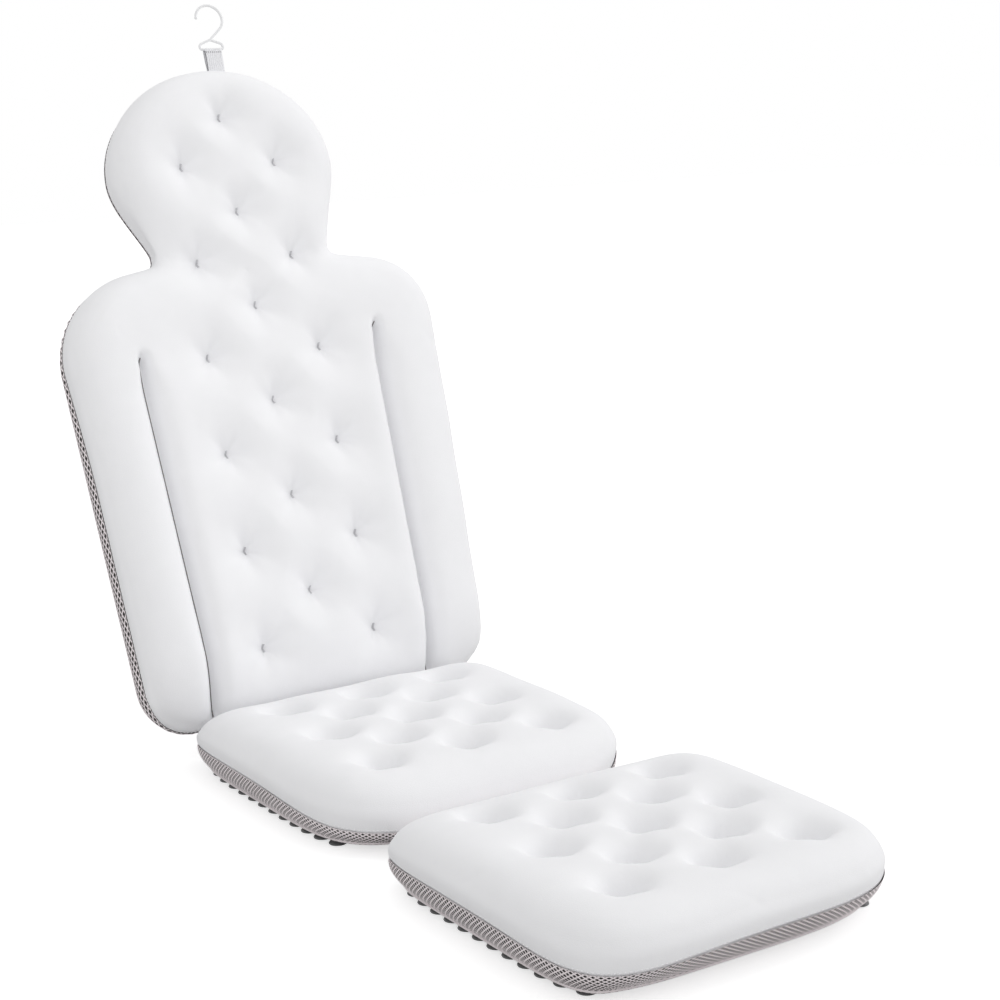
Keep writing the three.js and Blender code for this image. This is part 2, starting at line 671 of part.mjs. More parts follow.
// Moulded strip with a row of cups, which follows one side of a pad
function cupStrip(name, side, nearEdge, length) {
  const count = Math.floor((length - CUP_NEAR_MARGIN - CUP_FAR_MARGIN) / CUP_PITCH) + 1;
  const places = Array.from({ length: count }, (_, i) => {
    const v = nearEdge + CUP_NEAR_MARGIN + i * CUP_PITCH;
    const across = padHalfWidth(v, nearEdge, length) - PAD_WALL_INSET - CUP_EDGE_MARGIN;
    return new THREE.Vector3(side * across, -v, 0);
  });
  const radius = CUP_STRIP_WIDTH / 2;
  const discs = places.map((p) => {
    const disc = wasm.Manifold.cylinder(CUP_STRIP_THICKNESS, radius, radius, STRIP_SIDES);
    return disc.translate([p.x, p.y, CUP_HEIGHT]);
  });
  const links = discs.slice(1).map((disc, i) => wasm.Manifold.hull([discs[i], disc]));
  const cups = places.map((p) => solidOf(cupGeometry().translate(p.x, p.y, 0)));
  const strip = namedMesh(name, geometryOf(wasm.Manifold.union([...links, ...cups])), greyRubber);
  strip.position.z = -foldLevel;
  return strip;
}

// Level of the strap and hook, on the side of the cover at the top of the head
const loopLevel = seamRise - LAYER_GAP - LOOP_LAYER;
const loopRoot = headTop + LOOP_COVER_FULLNESS + SEWN_GAP + LOOP_LAYER;

// Strap folded over the hook's bar, with a rounded root that hinges on the head
function hangingLoop() {
  const hole = HOOK_WIRE_RADIUS + HOOK_BAR_CLEARANCE;
  const outer = hole + LOOP_LAYER;
  const meet = Math.PI - Math.asin(LOOP_LAYER / outer);
  const shape = new THREE.Shape();
  shape.absarc(0, 0, LOOP_LAYER, Math.PI / 2, 1.5 * Math.PI, false);
  shape.absarc(LOOP_LENGTH, 0, outer, -meet, meet, false);
  shape.closePath();
  const opening = new THREE.Path();
  opening.absarc(LOOP_LENGTH, 0, hole, 0, 2 * Math.PI, true);
  shape.holes.push(opening);
  const options = { depth: LOOP_WIDTH, bevelEnabled: false, curveSegments: LOOP_SEGMENTS };
  const geometry = new THREE.ExtrudeGeometry(shape, options).translate(0, 0, -LOOP_WIDTH / 2);
  const [alongX, alongY, alongZ] = [[1, 0, 0], [0, 1, 0], [0, 0, 1]].map((v) => new THREE.Vector3(...v));
  geometry.applyMatrix4(new THREE.Matrix4().makeBasis(alongY, alongZ, alongX));
  const loop = namedMesh('hanging_loop', geometry, webbing);
  loop.position.set(LOOP_OFFSET, loopRoot, loopLevel);
  return loop;
}

// Round wire along a run of points, with rounded corners
function wireAlong(points, steps) {
  const run = new THREE.CurvePath();
  let from = points[0];
  points.slice(1, -1).forEach((corner, i) => {
    const into = new THREE.Vector3().subVectors(from, corner).setLength(HOOK_CORNER).add(corner);
    const outOf = new THREE.Vector3().subVectors(points[i + 2], corner).setLength(HOOK_CORNER).add(corner);
    run.add(new THREE.LineCurve3(from, into));
    run.add(new THREE.QuadraticBezierCurve3(into, corner, outOf));
    from = outOf;
  });
  run.add(new THREE.LineCurve3(from, points.at(-1)));
  return wireSolid(run, steps);
}

function wireSolid(run, steps) {
  const section = new THREE.Shape().absarc(0, 0, HOOK_WIRE_RADIUS, 0, 2 * Math.PI, false);
  const options = { steps, extrudePath: run, curveSegments: WIRE_QUARTERS, bevelEnabled: false };
  return solidOf(new THREE.ExtrudeGeometry(section, options));
}

// Hanging hook: an open bow on a slanting shank, over an eye whose bar runs through the strap
function hangingHook() {
  const place = (x, v) => new THREE.Vector3(x, v, 0);
  const barReach = LOOP_WIDTH / 2 + HOOK_BAR_OVERHANG;
  const apex = place(0, HOOK_EYE_TOP);
  const eyeCorners = [
    place(-barReach, HOOK_EYE_SHOULDER),
    place(-barReach, 0),
    place(barReach, 0),
    place(barReach, HOOK_EYE_SHOULDER),
  ];
  const tip = THREE.MathUtils.degToRad(HOOK_TIP_DEGREES);
  const turn = THREE.MathUtils.degToRad(HOOK_TURN_DEGREES);
  const bow = Array.from({ length: BOW_STEPS + 1 }, (_, i) => {
    const angle = tip + (turn - tip) * (i / BOW_STEPS);
    const rise = HOOK_BOW_HEIGHT + HOOK_BOW_RADIUS * Math.sin(angle);
    return place(HOOK_BOW_OFFSET + HOOK_BOW_RADIUS * Math.cos(angle), rise);
  });
  const shank = new THREE.CatmullRomCurve3([...bow, apex]);
  const eye = wireAlong([apex, ...eyeCorners, apex], EYE_STEPS);
  const geometry = geometryOf(wireSolid(shank, SHANK_STEPS).add(eye));
  const hook = namedMesh('hook', geometry, hookPlastic);
  hook.position.set(LOOP_OFFSET, loopRoot + LOOP_LENGTH, loopLevel);
  return hook;
}

const seatGroup = new THREE.Group();
addPanel(seatGroup, padPanel('seat', SEAT_TO_BACK_FOLD, SEAT_LENGTH, SEAT_FOLD_CROWN, true));
seatGroup.add(
  cupStrip('seat_cup_strip_left', -1, SEAT_TO_BACK_FOLD, SEAT_LENGTH),
  cupStrip('seat_cup_strip_right', 1, SEAT_TO_BACK_FOLD, SEAT_LENGTH),
  backFoldStrip(),
  legFoldStrip(),
);

const legGroup = new THREE.Group();
legGroup.position.y = -foldPitch;
addPanel(legGroup, padPanel('leg', PAD_TO_LEG_FOLD, LEG_LENGTH, PAD_FOLD_CROWN, false));
legGroup.add(
  cupStrip('leg_cup_strip_left', -1, PAD_TO_LEG_FOLD, LEG_LENGTH),
  cupStrip('leg_cup_strip_right', 1, PAD_TO_LEG_FOLD, LEG_LENGTH),
);

const backGroup = new THREE.Group();
backGroup.rotation.x = recline;
addPanel(backGroup, backPanel());
backGroup.add(hangingLoop(), hangingHook());

const pillow = new THREE.Group();
pillow.add(seatGroup, legGroup, backGroup);
pillow.position.z = foldLevel;
pillow.updateMatrixWorld(true);
const box = new THREE.Box3().setFromObject(pillow, true);
pillow.position.y = -(box.min.y + box.max.y) / 2;

const part = new THREE.Group();
part.add(pillow);
part.updateMatrixWorld(true);

export default part;
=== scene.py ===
"""Visual model of a quilted bath pillow: a seat, a leg pad and a back with a head, on air mesh."""

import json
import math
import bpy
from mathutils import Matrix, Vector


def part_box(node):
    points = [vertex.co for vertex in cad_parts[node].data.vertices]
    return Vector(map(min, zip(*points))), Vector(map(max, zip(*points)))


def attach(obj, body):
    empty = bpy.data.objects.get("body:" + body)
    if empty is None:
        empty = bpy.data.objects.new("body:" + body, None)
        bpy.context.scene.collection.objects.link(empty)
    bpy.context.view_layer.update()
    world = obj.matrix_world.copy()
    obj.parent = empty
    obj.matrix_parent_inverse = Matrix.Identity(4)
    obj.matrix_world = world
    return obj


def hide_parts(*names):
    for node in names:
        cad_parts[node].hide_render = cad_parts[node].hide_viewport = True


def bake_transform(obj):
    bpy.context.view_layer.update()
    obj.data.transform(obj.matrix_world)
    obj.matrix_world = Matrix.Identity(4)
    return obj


bl_info = {
    "name": "Bath Pillow",
    "version": (1, 0, 0),
    "blender": (4, 5, 0),
    "location": "View3D > Sidebar > Bath Pillow",
    "description": "Builds the quilted covers, mesh, suction cups, strap and hook of a bath pillow",
    "category": "Object",
}

from contextlib import contextmanager
from types import SimpleNamespace

import bmesh
import bpy
from bpy.props import FloatProperty, FloatVectorProperty, IntProperty, PointerProperty
from mathutils import Matrix, Vector, kdtree, noise
from mathutils.bvhtree import BVHTree

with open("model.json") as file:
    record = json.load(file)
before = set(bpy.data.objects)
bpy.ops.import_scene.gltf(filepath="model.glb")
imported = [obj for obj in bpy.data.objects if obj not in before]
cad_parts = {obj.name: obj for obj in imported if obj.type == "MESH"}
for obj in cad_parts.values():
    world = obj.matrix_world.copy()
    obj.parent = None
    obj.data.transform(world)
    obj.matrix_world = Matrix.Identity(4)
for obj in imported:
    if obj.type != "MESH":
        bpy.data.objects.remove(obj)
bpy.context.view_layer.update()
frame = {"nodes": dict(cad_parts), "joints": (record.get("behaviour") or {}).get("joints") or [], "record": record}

# Outlines of the panels, in metres; v runs along the body from each panel's own fold
PAD_WIDTH = 0.300
SEAT_LENGTH = 0.311
LEG_LENGTH = 0.299
PAD_NEAR_SQUARENESS = 7
PAD_FAR_SQUARENESS = 3.9
LEG_LEFT_SQUARENESS = 5.2
LEG_RIGHT_SQUARENESS = 3.6
SHOULDER_WIDTH = 0.376
HIP_WIDTH = 0.348
SHOULDER_HEIGHT = 0.425
SHOULDER_RADIUS = 0.062
LEFT_SHOULDER_RADIUS = 0.084
SHOULDER_SLOPE = math.radians(8)
HIP_RADIUS = 0.046
NECK_WIDTH = 0.162
NECK_FILLET = 0.014
NECK_LEAN = math.radians(24)
NECK_RISE = 0.074
HEAD_WIDTH = 0.222
HEAD_CROWN = 0.095
BACK_TO_FOLD = 0.010
SEAT_TO_BACK_FOLD = 0.0095
PAD_TO_LEG_FOLD = 0.0165
SHOULDER_LINE = BACK_TO_FOLD + SHOULDER_HEIGHT
HEAD_CENTRE = SHOULDER_LINE + NECK_FILLET + NECK_RISE
RING_SAMPLES = 1200
CURVE_STEPS = 60

# Heights of the seam and the crown; h is measured above the fold axis
WALL_HEIGHT = 0.024
HEAD_WALL_HEIGHT = 0.0048
WALL_TAPER_START = 0.220
CORNER_SAG = {"seat": 0.0115, "leg": 0.006}
CORNER_SAG_REACH = 0.085
CROWN_RISE = 0.046
FOLD_BLEND = 0.034
FOLD_CROWN = {"seat": 0.6, "leg": 0.8, "back": 0.6}
CROWN_RAMP = {"seat": 0.060, "leg": 0.060, "back": 0.070}

# Filled covers
PAD_PUFF = 0.040
BACK_PUFF = 0.034
PUFF_POWER = 1.3
SIDE_BULGE = 0.004
HEAD_FULLNESS = 0.004
HULL_RING = 180
HULL_STEPS = 7
BODY_HULL_END = SHOULDER_LINE + 0.002
HEAD_HULL_START = SHOULDER_LINE + 0.012
NECK_FOOT = 0.012
NECK_FOOT_SHARE = 0.98
NECK_FOOT_REACH = 0.035
SEAM_TUCK = 0.006
TUCK_INSET = 0.014
CUSHION_FLOOR = -0.0072
BLANK_SMOOTHING = 8
FILL_FRAMES = 20
EDGE_HOLD = 0.3
HELD_RISE = 0.002
UPPER_RISE = 0.5

# Tufts and folds
PAD_TUFT_COLUMN = 0.041
PAD_TUFT_ROW = 0.043
PAD_TUFT_MIDDLE = 0.1495
BACK_TUFT_ROW = 0.0455
BACK_TUFT_SIDE = 0.058
HEAD_TUFT_SIDE = 0.048
BACK_FIRST_TUFT = 0.0625
BACK_TUFT_ROWS = 12
HEAD_TUFT_ROWS = 4
POCKET_ALONG = 0.77
POCKET_ACROSS = 0.64
TUFT_SEWN = 0.8
VALLEY_SPAN = 0.080
VALLEY_SLACK = 0.45
VALLEY_CUTOFF = 4
CREASE_REACH = 0.004
CREASE_SHARE = 0.12
CREASE_RISE = 0.004
PUCKER_RISE = 0.006
PUCKER_START = 0.008
PUCKER_FADE = 0.030
PUCKER_FOLDS = 5
PUCKER_TURN = 1.7
WAVE_HEIGHT = 0.0012
WAVE_SCALE = 16

# Side channels of the back
CHANNEL_FOOT = BACK_TO_FOLD + 0.010
CHANNEL_LENGTH = 0.338
CHANNEL_OFFSET = 0.113
CHANNEL_SPREAD = 0.009
CHANNEL_LEAN = 0.007
CHANNEL_REACH_RIGHT = 0.009
CHANNEL_FADE = 0.012
CHANNEL_POINT = 0.045
CHANNEL_SEWN = 0.3
CHANNEL_RIM = 0.006
CHANNEL_CALM = 0.030
CHANNEL_SHIFT_REACH = 0.045
CHANNEL_SHIFT_FADE = 0.060
CHANNEL_PUCKER_START = 0.003
CHANNEL_PUCKER_FADE = 0.022
CHANNEL_PUCKER_SCALE = 70
CHANNEL_PUCKER_SEED = 7
# Radius of the dark roll in the channels, as a share of the thread's; the roll is painted shade for the shadow
# deep in each crease
CHANNEL_SHADE_LINE_SHARE = 1.8

# Stitches and rolled edges
EDGE_STITCH_RISE = 0.0024
EDGE_STITCH_SHARE = 0.72
EDGE_PROBE_OUT = 0.02
EDGE_PROBE_REACH = 0.06
TACK_STITCHES = 8
TACK_PITCH = 0.0010
TACK_LENGTH = 0.0030
TACK_RADIUS = 0.00058
TACK_LIFT = 0.0003
TACK_SLANT = 0.15
PROBE_HEIGHT = 0.08
PROBE_REACH = 0.1
ROLL_STEP = 0.006
ROLL_SIDES = 8

# Mesh borders, bases and fold strips
PAD_WALL_INSET = 0.010
TOE_WALL_INSET = 0.020
BACK_WALL_INSET = 0.0015
BORDER_FOOT = -0.0095
BASE_BOTTOM = -0.012
BAND_CELL = 0.004
BAND_ROWS = 4
NET_OVERLAP = 0.0012
NET_UNDER_SHARE = 0.25
BASE_CELL = 0.006
BASE_TRIM = 0.3
BASE_MERGE = 0.2
BASE_RIM = 0.030
BASE_FULLNESS = 0.0012
BASE_TUFT_PULL = 0.003
BASE_TUFT_REACH = 0.012
SHEET_THICKNESS = 0.001
# Hole mask of the flat mesh sheets, and the darker tone of their holes, a painted shade, as a share of the
# strands' colour
HOLE_RIM = (0.26, 0.38)
HOLE_SHADE_TONE = 0.35
FOLD_STRIP_WIDTH = 0.200
FOLD_STRIP_DROP = 0.00175
FOLD_STRIP_COLUMNS = 40
FOLD_STRIP_ROWS = 10

# Suction cups; the profile is radius and height from the middle of the dish to the stem
CUP_COUNT = 13
CUP_PITCH = 0.0195
CUP_NEAR_MARGIN = 0.016
CUP_EDGE_MARGIN = 0.0095
CUP_STRIP_WIDTH = 0.010
CUP_STRIP_THICKNESS = 0.0014
CUP_STRIP_STEPS = 8
CUP_STRIP_ROWS = 6
CUP_SHARP_ANGLE = math.radians(50)
CUP_STEM_ROOT = 0.0003
CUP_STEM = 0.0046
CUP_PROFILE = [
    (0.0002, 0.0018), (0.0030, 0.0016), (0.0055, 0.0007), (0.0067, 0.0), (0.0074, 0.0001),
    (0.0076, 0.0005), (0.0073, 0.0011), (0.0066, 0.0018), (0.0057, 0.0024), (0.0049, 0.0028),
    (CUP_STEM, 0.0032),
]

# Strap
LOOP_OFFSET = 0.0142
LOOP_WIDTH = 0.017
LOOP_LENGTH = 0.026
LOOP_ROOT = 0.6200
LOOP_LEVEL = 0.0106
LOOP_OPENING = 0.018
LOOP_BEND = 0.0022
STRAP_FRONT_STEPS = 17
STRAP_BEND_STEPS = 12
STRAP_THICKNESS = 0.0008
RIB_STEPS = 6
STRAP_STITCH_DROP = 0.0036
STRAP_STITCH_LENGTH = 0.0022
STRAP_STITCH_RADIUS = 0.0003

# Stage: each lamp's direction, width in degrees and strength; the camera fits the photograph
LAMPS = {
    "key": ((1.6, -0.5, 0.9), 45, 0.93),
    "top": ((0.4, 0.8, 1.6), 60, 0.25),
    "front": ((-1.2, -1.2, 0.6), 80, 0.38),
}
BACK_LIGHT_PLACE = (-0.6, -1.6, 1.0)
BACK_LIGHT_AIM = (0.0, 0.33, 0.44)
BACK_LIGHT_BEAM = 36
BACK_LIGHT_SIZE = 0.4
BACK_LIGHT_POWER = 25
ROOM_LIGHT = 0.65
FLOOR_SIZE = 8
FLOOR_DROP = 0.0004
FLOOR_TONE = 0.66
FLOOR_GLOW = 0.62
CAMERA_TURN = math.radians(-32.41)
CAMERA_PITCH = math.radians(11.64)
CAMERA_TILT = math.radians(-2.0)
CAMERA_FROM_FOLD = Vector((-0.8423, -1.6516, 0.5816))
CAMERA_FOCAL = 2.042
CAMERA_SENSOR = 36

# How the quilting and the border of the pads and of the back differ
PAD_QUILTING = SimpleNamespace(
    tension=1.3, spread=0.8, valley=0.35, tuft_power=1.8, pocket_lean=0.24,
    border_bulge=0.003, net_scale=1.0)
BACK_QUILTING = SimpleNamespace(
    tension=0.78, spread=1.0, valley=0.25, tuft_power=1.2, pocket_lean=0.0,
    border_bulge=0.0012, net_scale=1.7)


def measure(name, default, description):
    """A length among the settings."""
    return FloatProperty(name=name, description=description, default=default, unit="LENGTH")


def tint(name, default, description):
    """A colour among the settings."""
    return FloatVectorProperty(
        name=name, description=description, default=default, size=3, subtype="COLOR")


class PillowFabric(bpy.types.PropertyGroup):
    """Sizes of the quilted covers."""

    cell: measure("Cell", 0.0046, "Edge of a cell of the cloth mesh")
    pressure: FloatProperty(
        name="Pressure", description="Air pressure that fills a cover out", default=4.0)
    give: measure("Give", 0.006, "Farthest that a cover swells from its cut shape")
    tuft_depth: measure("Tuft depth", 0.028, "Depth that a tuft pulls the cover in")
    tuft_reach: measure("Tuft reach", 0.017, "Radius of a tuft's dimple")
    valley_depth: measure("Valley depth", 0.006, "Depth of the folds from tuft to tuft")
    valley_reach: measure("Valley reach", 0.010, "Half width of the folds from tuft to tuft")
    channel_depth: measure("Channel depth", 0.020, "Depth of the sewn side channels")
    channel_reach: measure("Channel reach", 0.017, "Half width of a sewn side channel")
    crease: measure("Crease", 0.005, "Depth of the sharp crease at the sewing")
    pucker: measure("Pucker", 0.0009, "Height of the small folds at the sewing")
    stitch_pitch: measure("Stitch pitch", 0.0036, "Distance from stitch to stitch")
    thread: measure("Thread", 0.00045, "Radius of the sewing thread")
    welt: measure("Welt", 0.0008, "Radius of the rolled edge where cover and mesh meet")
    colour: tint("Colour", (0.90, 0.90, 0.915), "Cover fabric")
    # Grey tone of the tack thread: real bar tacks, with the grey as painted shade for the fold's shadow at each
    # tuft
    thread_and_shade_colour: tint("Thread colour", (0.62, 0.62, 0.64), "Sewing thread")
    # Dark tone of the roll in the side channels: painted shade for the shadow deep in each crease
    channel_thread: tint("Channel thread", (0.22, 0.21, 0.21), "Thread of the side channels")


class PillowMesh(bpy.types.PropertyGroup):
    """Sizes of the air mesh."""

    pitch: measure("Pitch", 0.0053, "Distance between the mesh's holes along the border")
    row: measure("Row", 0.0021, "Distance between the rows of holes")
    strand: measure("Strand", 0.00105, "Width of the knit between two holes")
    knit: measure("Knit", 0.0002, "Depth of a hole in the net")
    stand_off: measure("Stand-off", 0.0012, "Distance of the net from its backing")
    binding: measure("Binding", 0.0011, "Radius of the edge binding under a panel")
    colour: tint("Colour", (0.92, 0.84, 0.855), "Mesh strands")
    # Near-black tone of the inner layer and hole floors: painted shade seen through the holes
    shade: tint("Shade", (0.03, 0.026, 0.026), "Inner layer behind the holes")


class PillowFittings(bpy.types.PropertyGroup):
    """Sizes of the cups, strap and hook."""

    cup_sides: IntProperty(name="Cup sides", description="Sides of a suction cup", default=32)
    rib_pitch: measure("Rib pitch", 0.0021, "Distance between the webbing's ribs")
    rib_height: measure("Rib height", 0.0007, "Height of a webbing rib")
    left_dark_edge: measure("Woven edge", 0.0006, "Width of the strap's dark edge")
    rubber: tint("Rubber", (0.085, 0.086, 0.088), "Cups and strips")
    webbing: tint("Webbing", (0.82, 0.82, 0.84), "Strap")
    # Dark tone of the line along the strap's left edge and of its stitches
    webbing_edge: tint("Webbing edge", (0.20, 0.20, 0.21), "Dark woven edge of the strap")
    hook: tint("Hook", (0.83, 0.83, 0.84), "Hook")


def ease(value, span):
    """Smooth step from 0 to 1 over a span."""
    share = min(max(value / span, 0.0), 1.0)
    return share * share * (3 - 2 * share)


def frame_of(across, along, up, origin):
    """Matrix of a frame with these axes at this origin."""
    return Matrix.Translation(origin) @ Matrix((across, along, up)).transposed().to_4x4()


def pad_side(v, near, length):
    """Half width of a pad at a place along it."""
    share = (v - near) / (length / 2) - 1
    power = PAD_NEAR_SQUARENESS if share < 0 else PAD_FAR_SQUARENESS
    return PAD_WIDTH / 2 * (1 - abs(share) ** power) ** (1 / power)


def pad_half(near, length, far_squareness=PAD_FAR_SQUARENESS):
    """Right half of a pad's outline, from the edge nearest the head to the far edge."""
    points = []
    for i in range(RING_SAMPLES + 1):
        angle = math.pi * (i / RING_SAMPLES - 0.5)
        power = 2 / (PAD_NEAR_SQUARENESS if angle < 0 else far_squareness)
        across = PAD_WIDTH / 2 * max(math.cos(angle), 0.0) ** power
        along = math.copysign(length / 2 * abs(math.sin(angle)) ** power, angle)
        points.append((across, near + length / 2 + along))
    return points


def pad_end(across, end, inward):
    """Place along of a pad's bowed end edge at a distance across."""
    squareness = PAD_NEAR_SQUARENESS if inward > 0 else PAD_FAR_SQUARENESS
    share = (1 - (2 * abs(across) / PAD_WIDTH) ** squareness) ** (1 / squareness)
    return end + inward * SEAT_LENGTH / 2 * (1 - share)


def arc(centre, radius, start, end):
    """Points on a circle's arc, or an ellipse's if radius is a pair."""
    rx, rv = radius if isinstance(radius, tuple) else (radius, radius)
    angles = [start + (end - start) * i / CURVE_STEPS for i in range(CURVE_STEPS + 1)]
    return [(centre[0] + rx * math.cos(a), centre[1] + rv * math.sin(a)) for a in angles]


def back_half(shoulder=SHOULDER_RADIUS):
    """Right half of the back's outline: hip corner, side, sloping shoulder, neck and head."""
    hip = HIP_WIDTH / 2
    head = HEAD_WIDTH / 2
    fillet = (NECK_WIDTH / 2 + NECK_FILLET, SHOULDER_LINE + NECK_FILLET)
    root_x = fillet[0] - NECK_FILLET * math.sin(SHOULDER_SLOPE)
    root_v = fillet[1] - NECK_FILLET * math.cos(SHOULDER_SLOPE)
    corner_x = SHOULDER_WIDTH / 2 - shoulder
    run = corner_x + shoulder * math.sin(SHOULDER_SLOPE) - root_x
    corner_v = root_v - run * math.tan(SHOULDER_SLOPE) - shoulder * math.cos(SHOULDER_SLOPE)
    points = [(0.0, BACK_TO_FOLD)]
    points += arc((hip - HIP_RADIUS, BACK_TO_FOLD + HIP_RADIUS), HIP_RADIUS, -math.pi / 2, 0)
    points += arc((corner_x, corner_v), shoulder, 0, math.pi / 2 - SHOULDER_SLOPE)
    points += arc(fillet, NECK_FILLET, -math.pi / 2 - SHOULDER_SLOPE, -math.pi - NECK_LEAN)
    end = points[-1]
    reach = (HEAD_CENTRE - end[1]) / 3
    first = (end[0] + reach * math.sin(NECK_LEAN), end[1] + reach * math.cos(NECK_LEAN))
    second = (head, HEAD_CENTRE - reach)
    last = (head, HEAD_CENTRE)
    for i in range(1, CURVE_STEPS + 1):
        t = i / CURVE_STEPS
        weights = ((1 - t) ** 3, 3 * t * (1 - t) ** 2, 3 * t * t * (1 - t), t ** 3)
        corners = (end, first, second, last)
        points.append(tuple(sum(w * c[k] for w, c in zip(weights, corners)) for k in (0, 1)))
    points += arc((0.0, HEAD_CENTRE), (head, HEAD_CROWN), 0, math.pi / 2)
    return points


class Outline:
    """A closed outline that gives its point and outward normal at any share of its length."""

    def __init__(self, right, left):
        loop = right + [(-x, v) for x, v in reversed(left[1:-1])]
        loop = [p for i, p in enumerate(loop) if math.dist(p, loop[i - 1]) > 1e-7]
        marks = [0.0]
        for a, b in zip(loop, loop[1:] + loop[:1]):
            marks.append(marks[-1] + math.dist(a, b))
        self.length = marks[-1]
        self.points = []
        at = 0
        for i in range(RING_SAMPLES):
            target = self.length * i / RING_SAMPLES
            while marks[at + 1] < target:
                at += 1
            share = (target - marks[at]) / (marks[at + 1] - marks[at])
            a, b = loop[at], loop[(at + 1) % len(loop)]
            self.points.append((a[0] + share * (b[0] - a[0]), a[1] + share * (b[1] - a[1])))
        self.tree = kdtree.KDTree(RING_SAMPLES)
        for i, point in enumerate(self.points):
            self.tree.insert((*point, 0), i)
        self.tree.balance()

    def nearest(self, x, v):
        """Nearest point of the outline, its outward normal, and how far inside it a point lies."""
        _, i, _ = self.tree.find((x, v, 0))
        edge_x, edge_v, nx, nv = self.at(i / RING_SAMPLES)
        return edge_x, edge_v, nx, nv, (edge_x - x) * nx + (edge_v - v) * nv

    def at(self, share):
        """Point and outward normal at a share of the outline's length."""
        place = (share % 1.0) * RING_SAMPLES
        i = int(place) % RING_SAMPLES
        rest = place - int(place)
        a, b = self.points[i], self.points[(i + 1) % RING_SAMPLES]
        before, after = self.points[i - 2], self.points[(i + 3) % RING_SAMPLES]
        tangent = Vector((after[0] - before[0], after[1] - before[1])).normalized()
        return a[0] + rest * (b[0] - a[0]), a[1] + rest * (b[1] - a[1]), tangent.y, -tangent.x

    def walk(self, count):
        """Points and outward normals at even steps all round."""
        return [self.at(i / count) for i in range(count)]


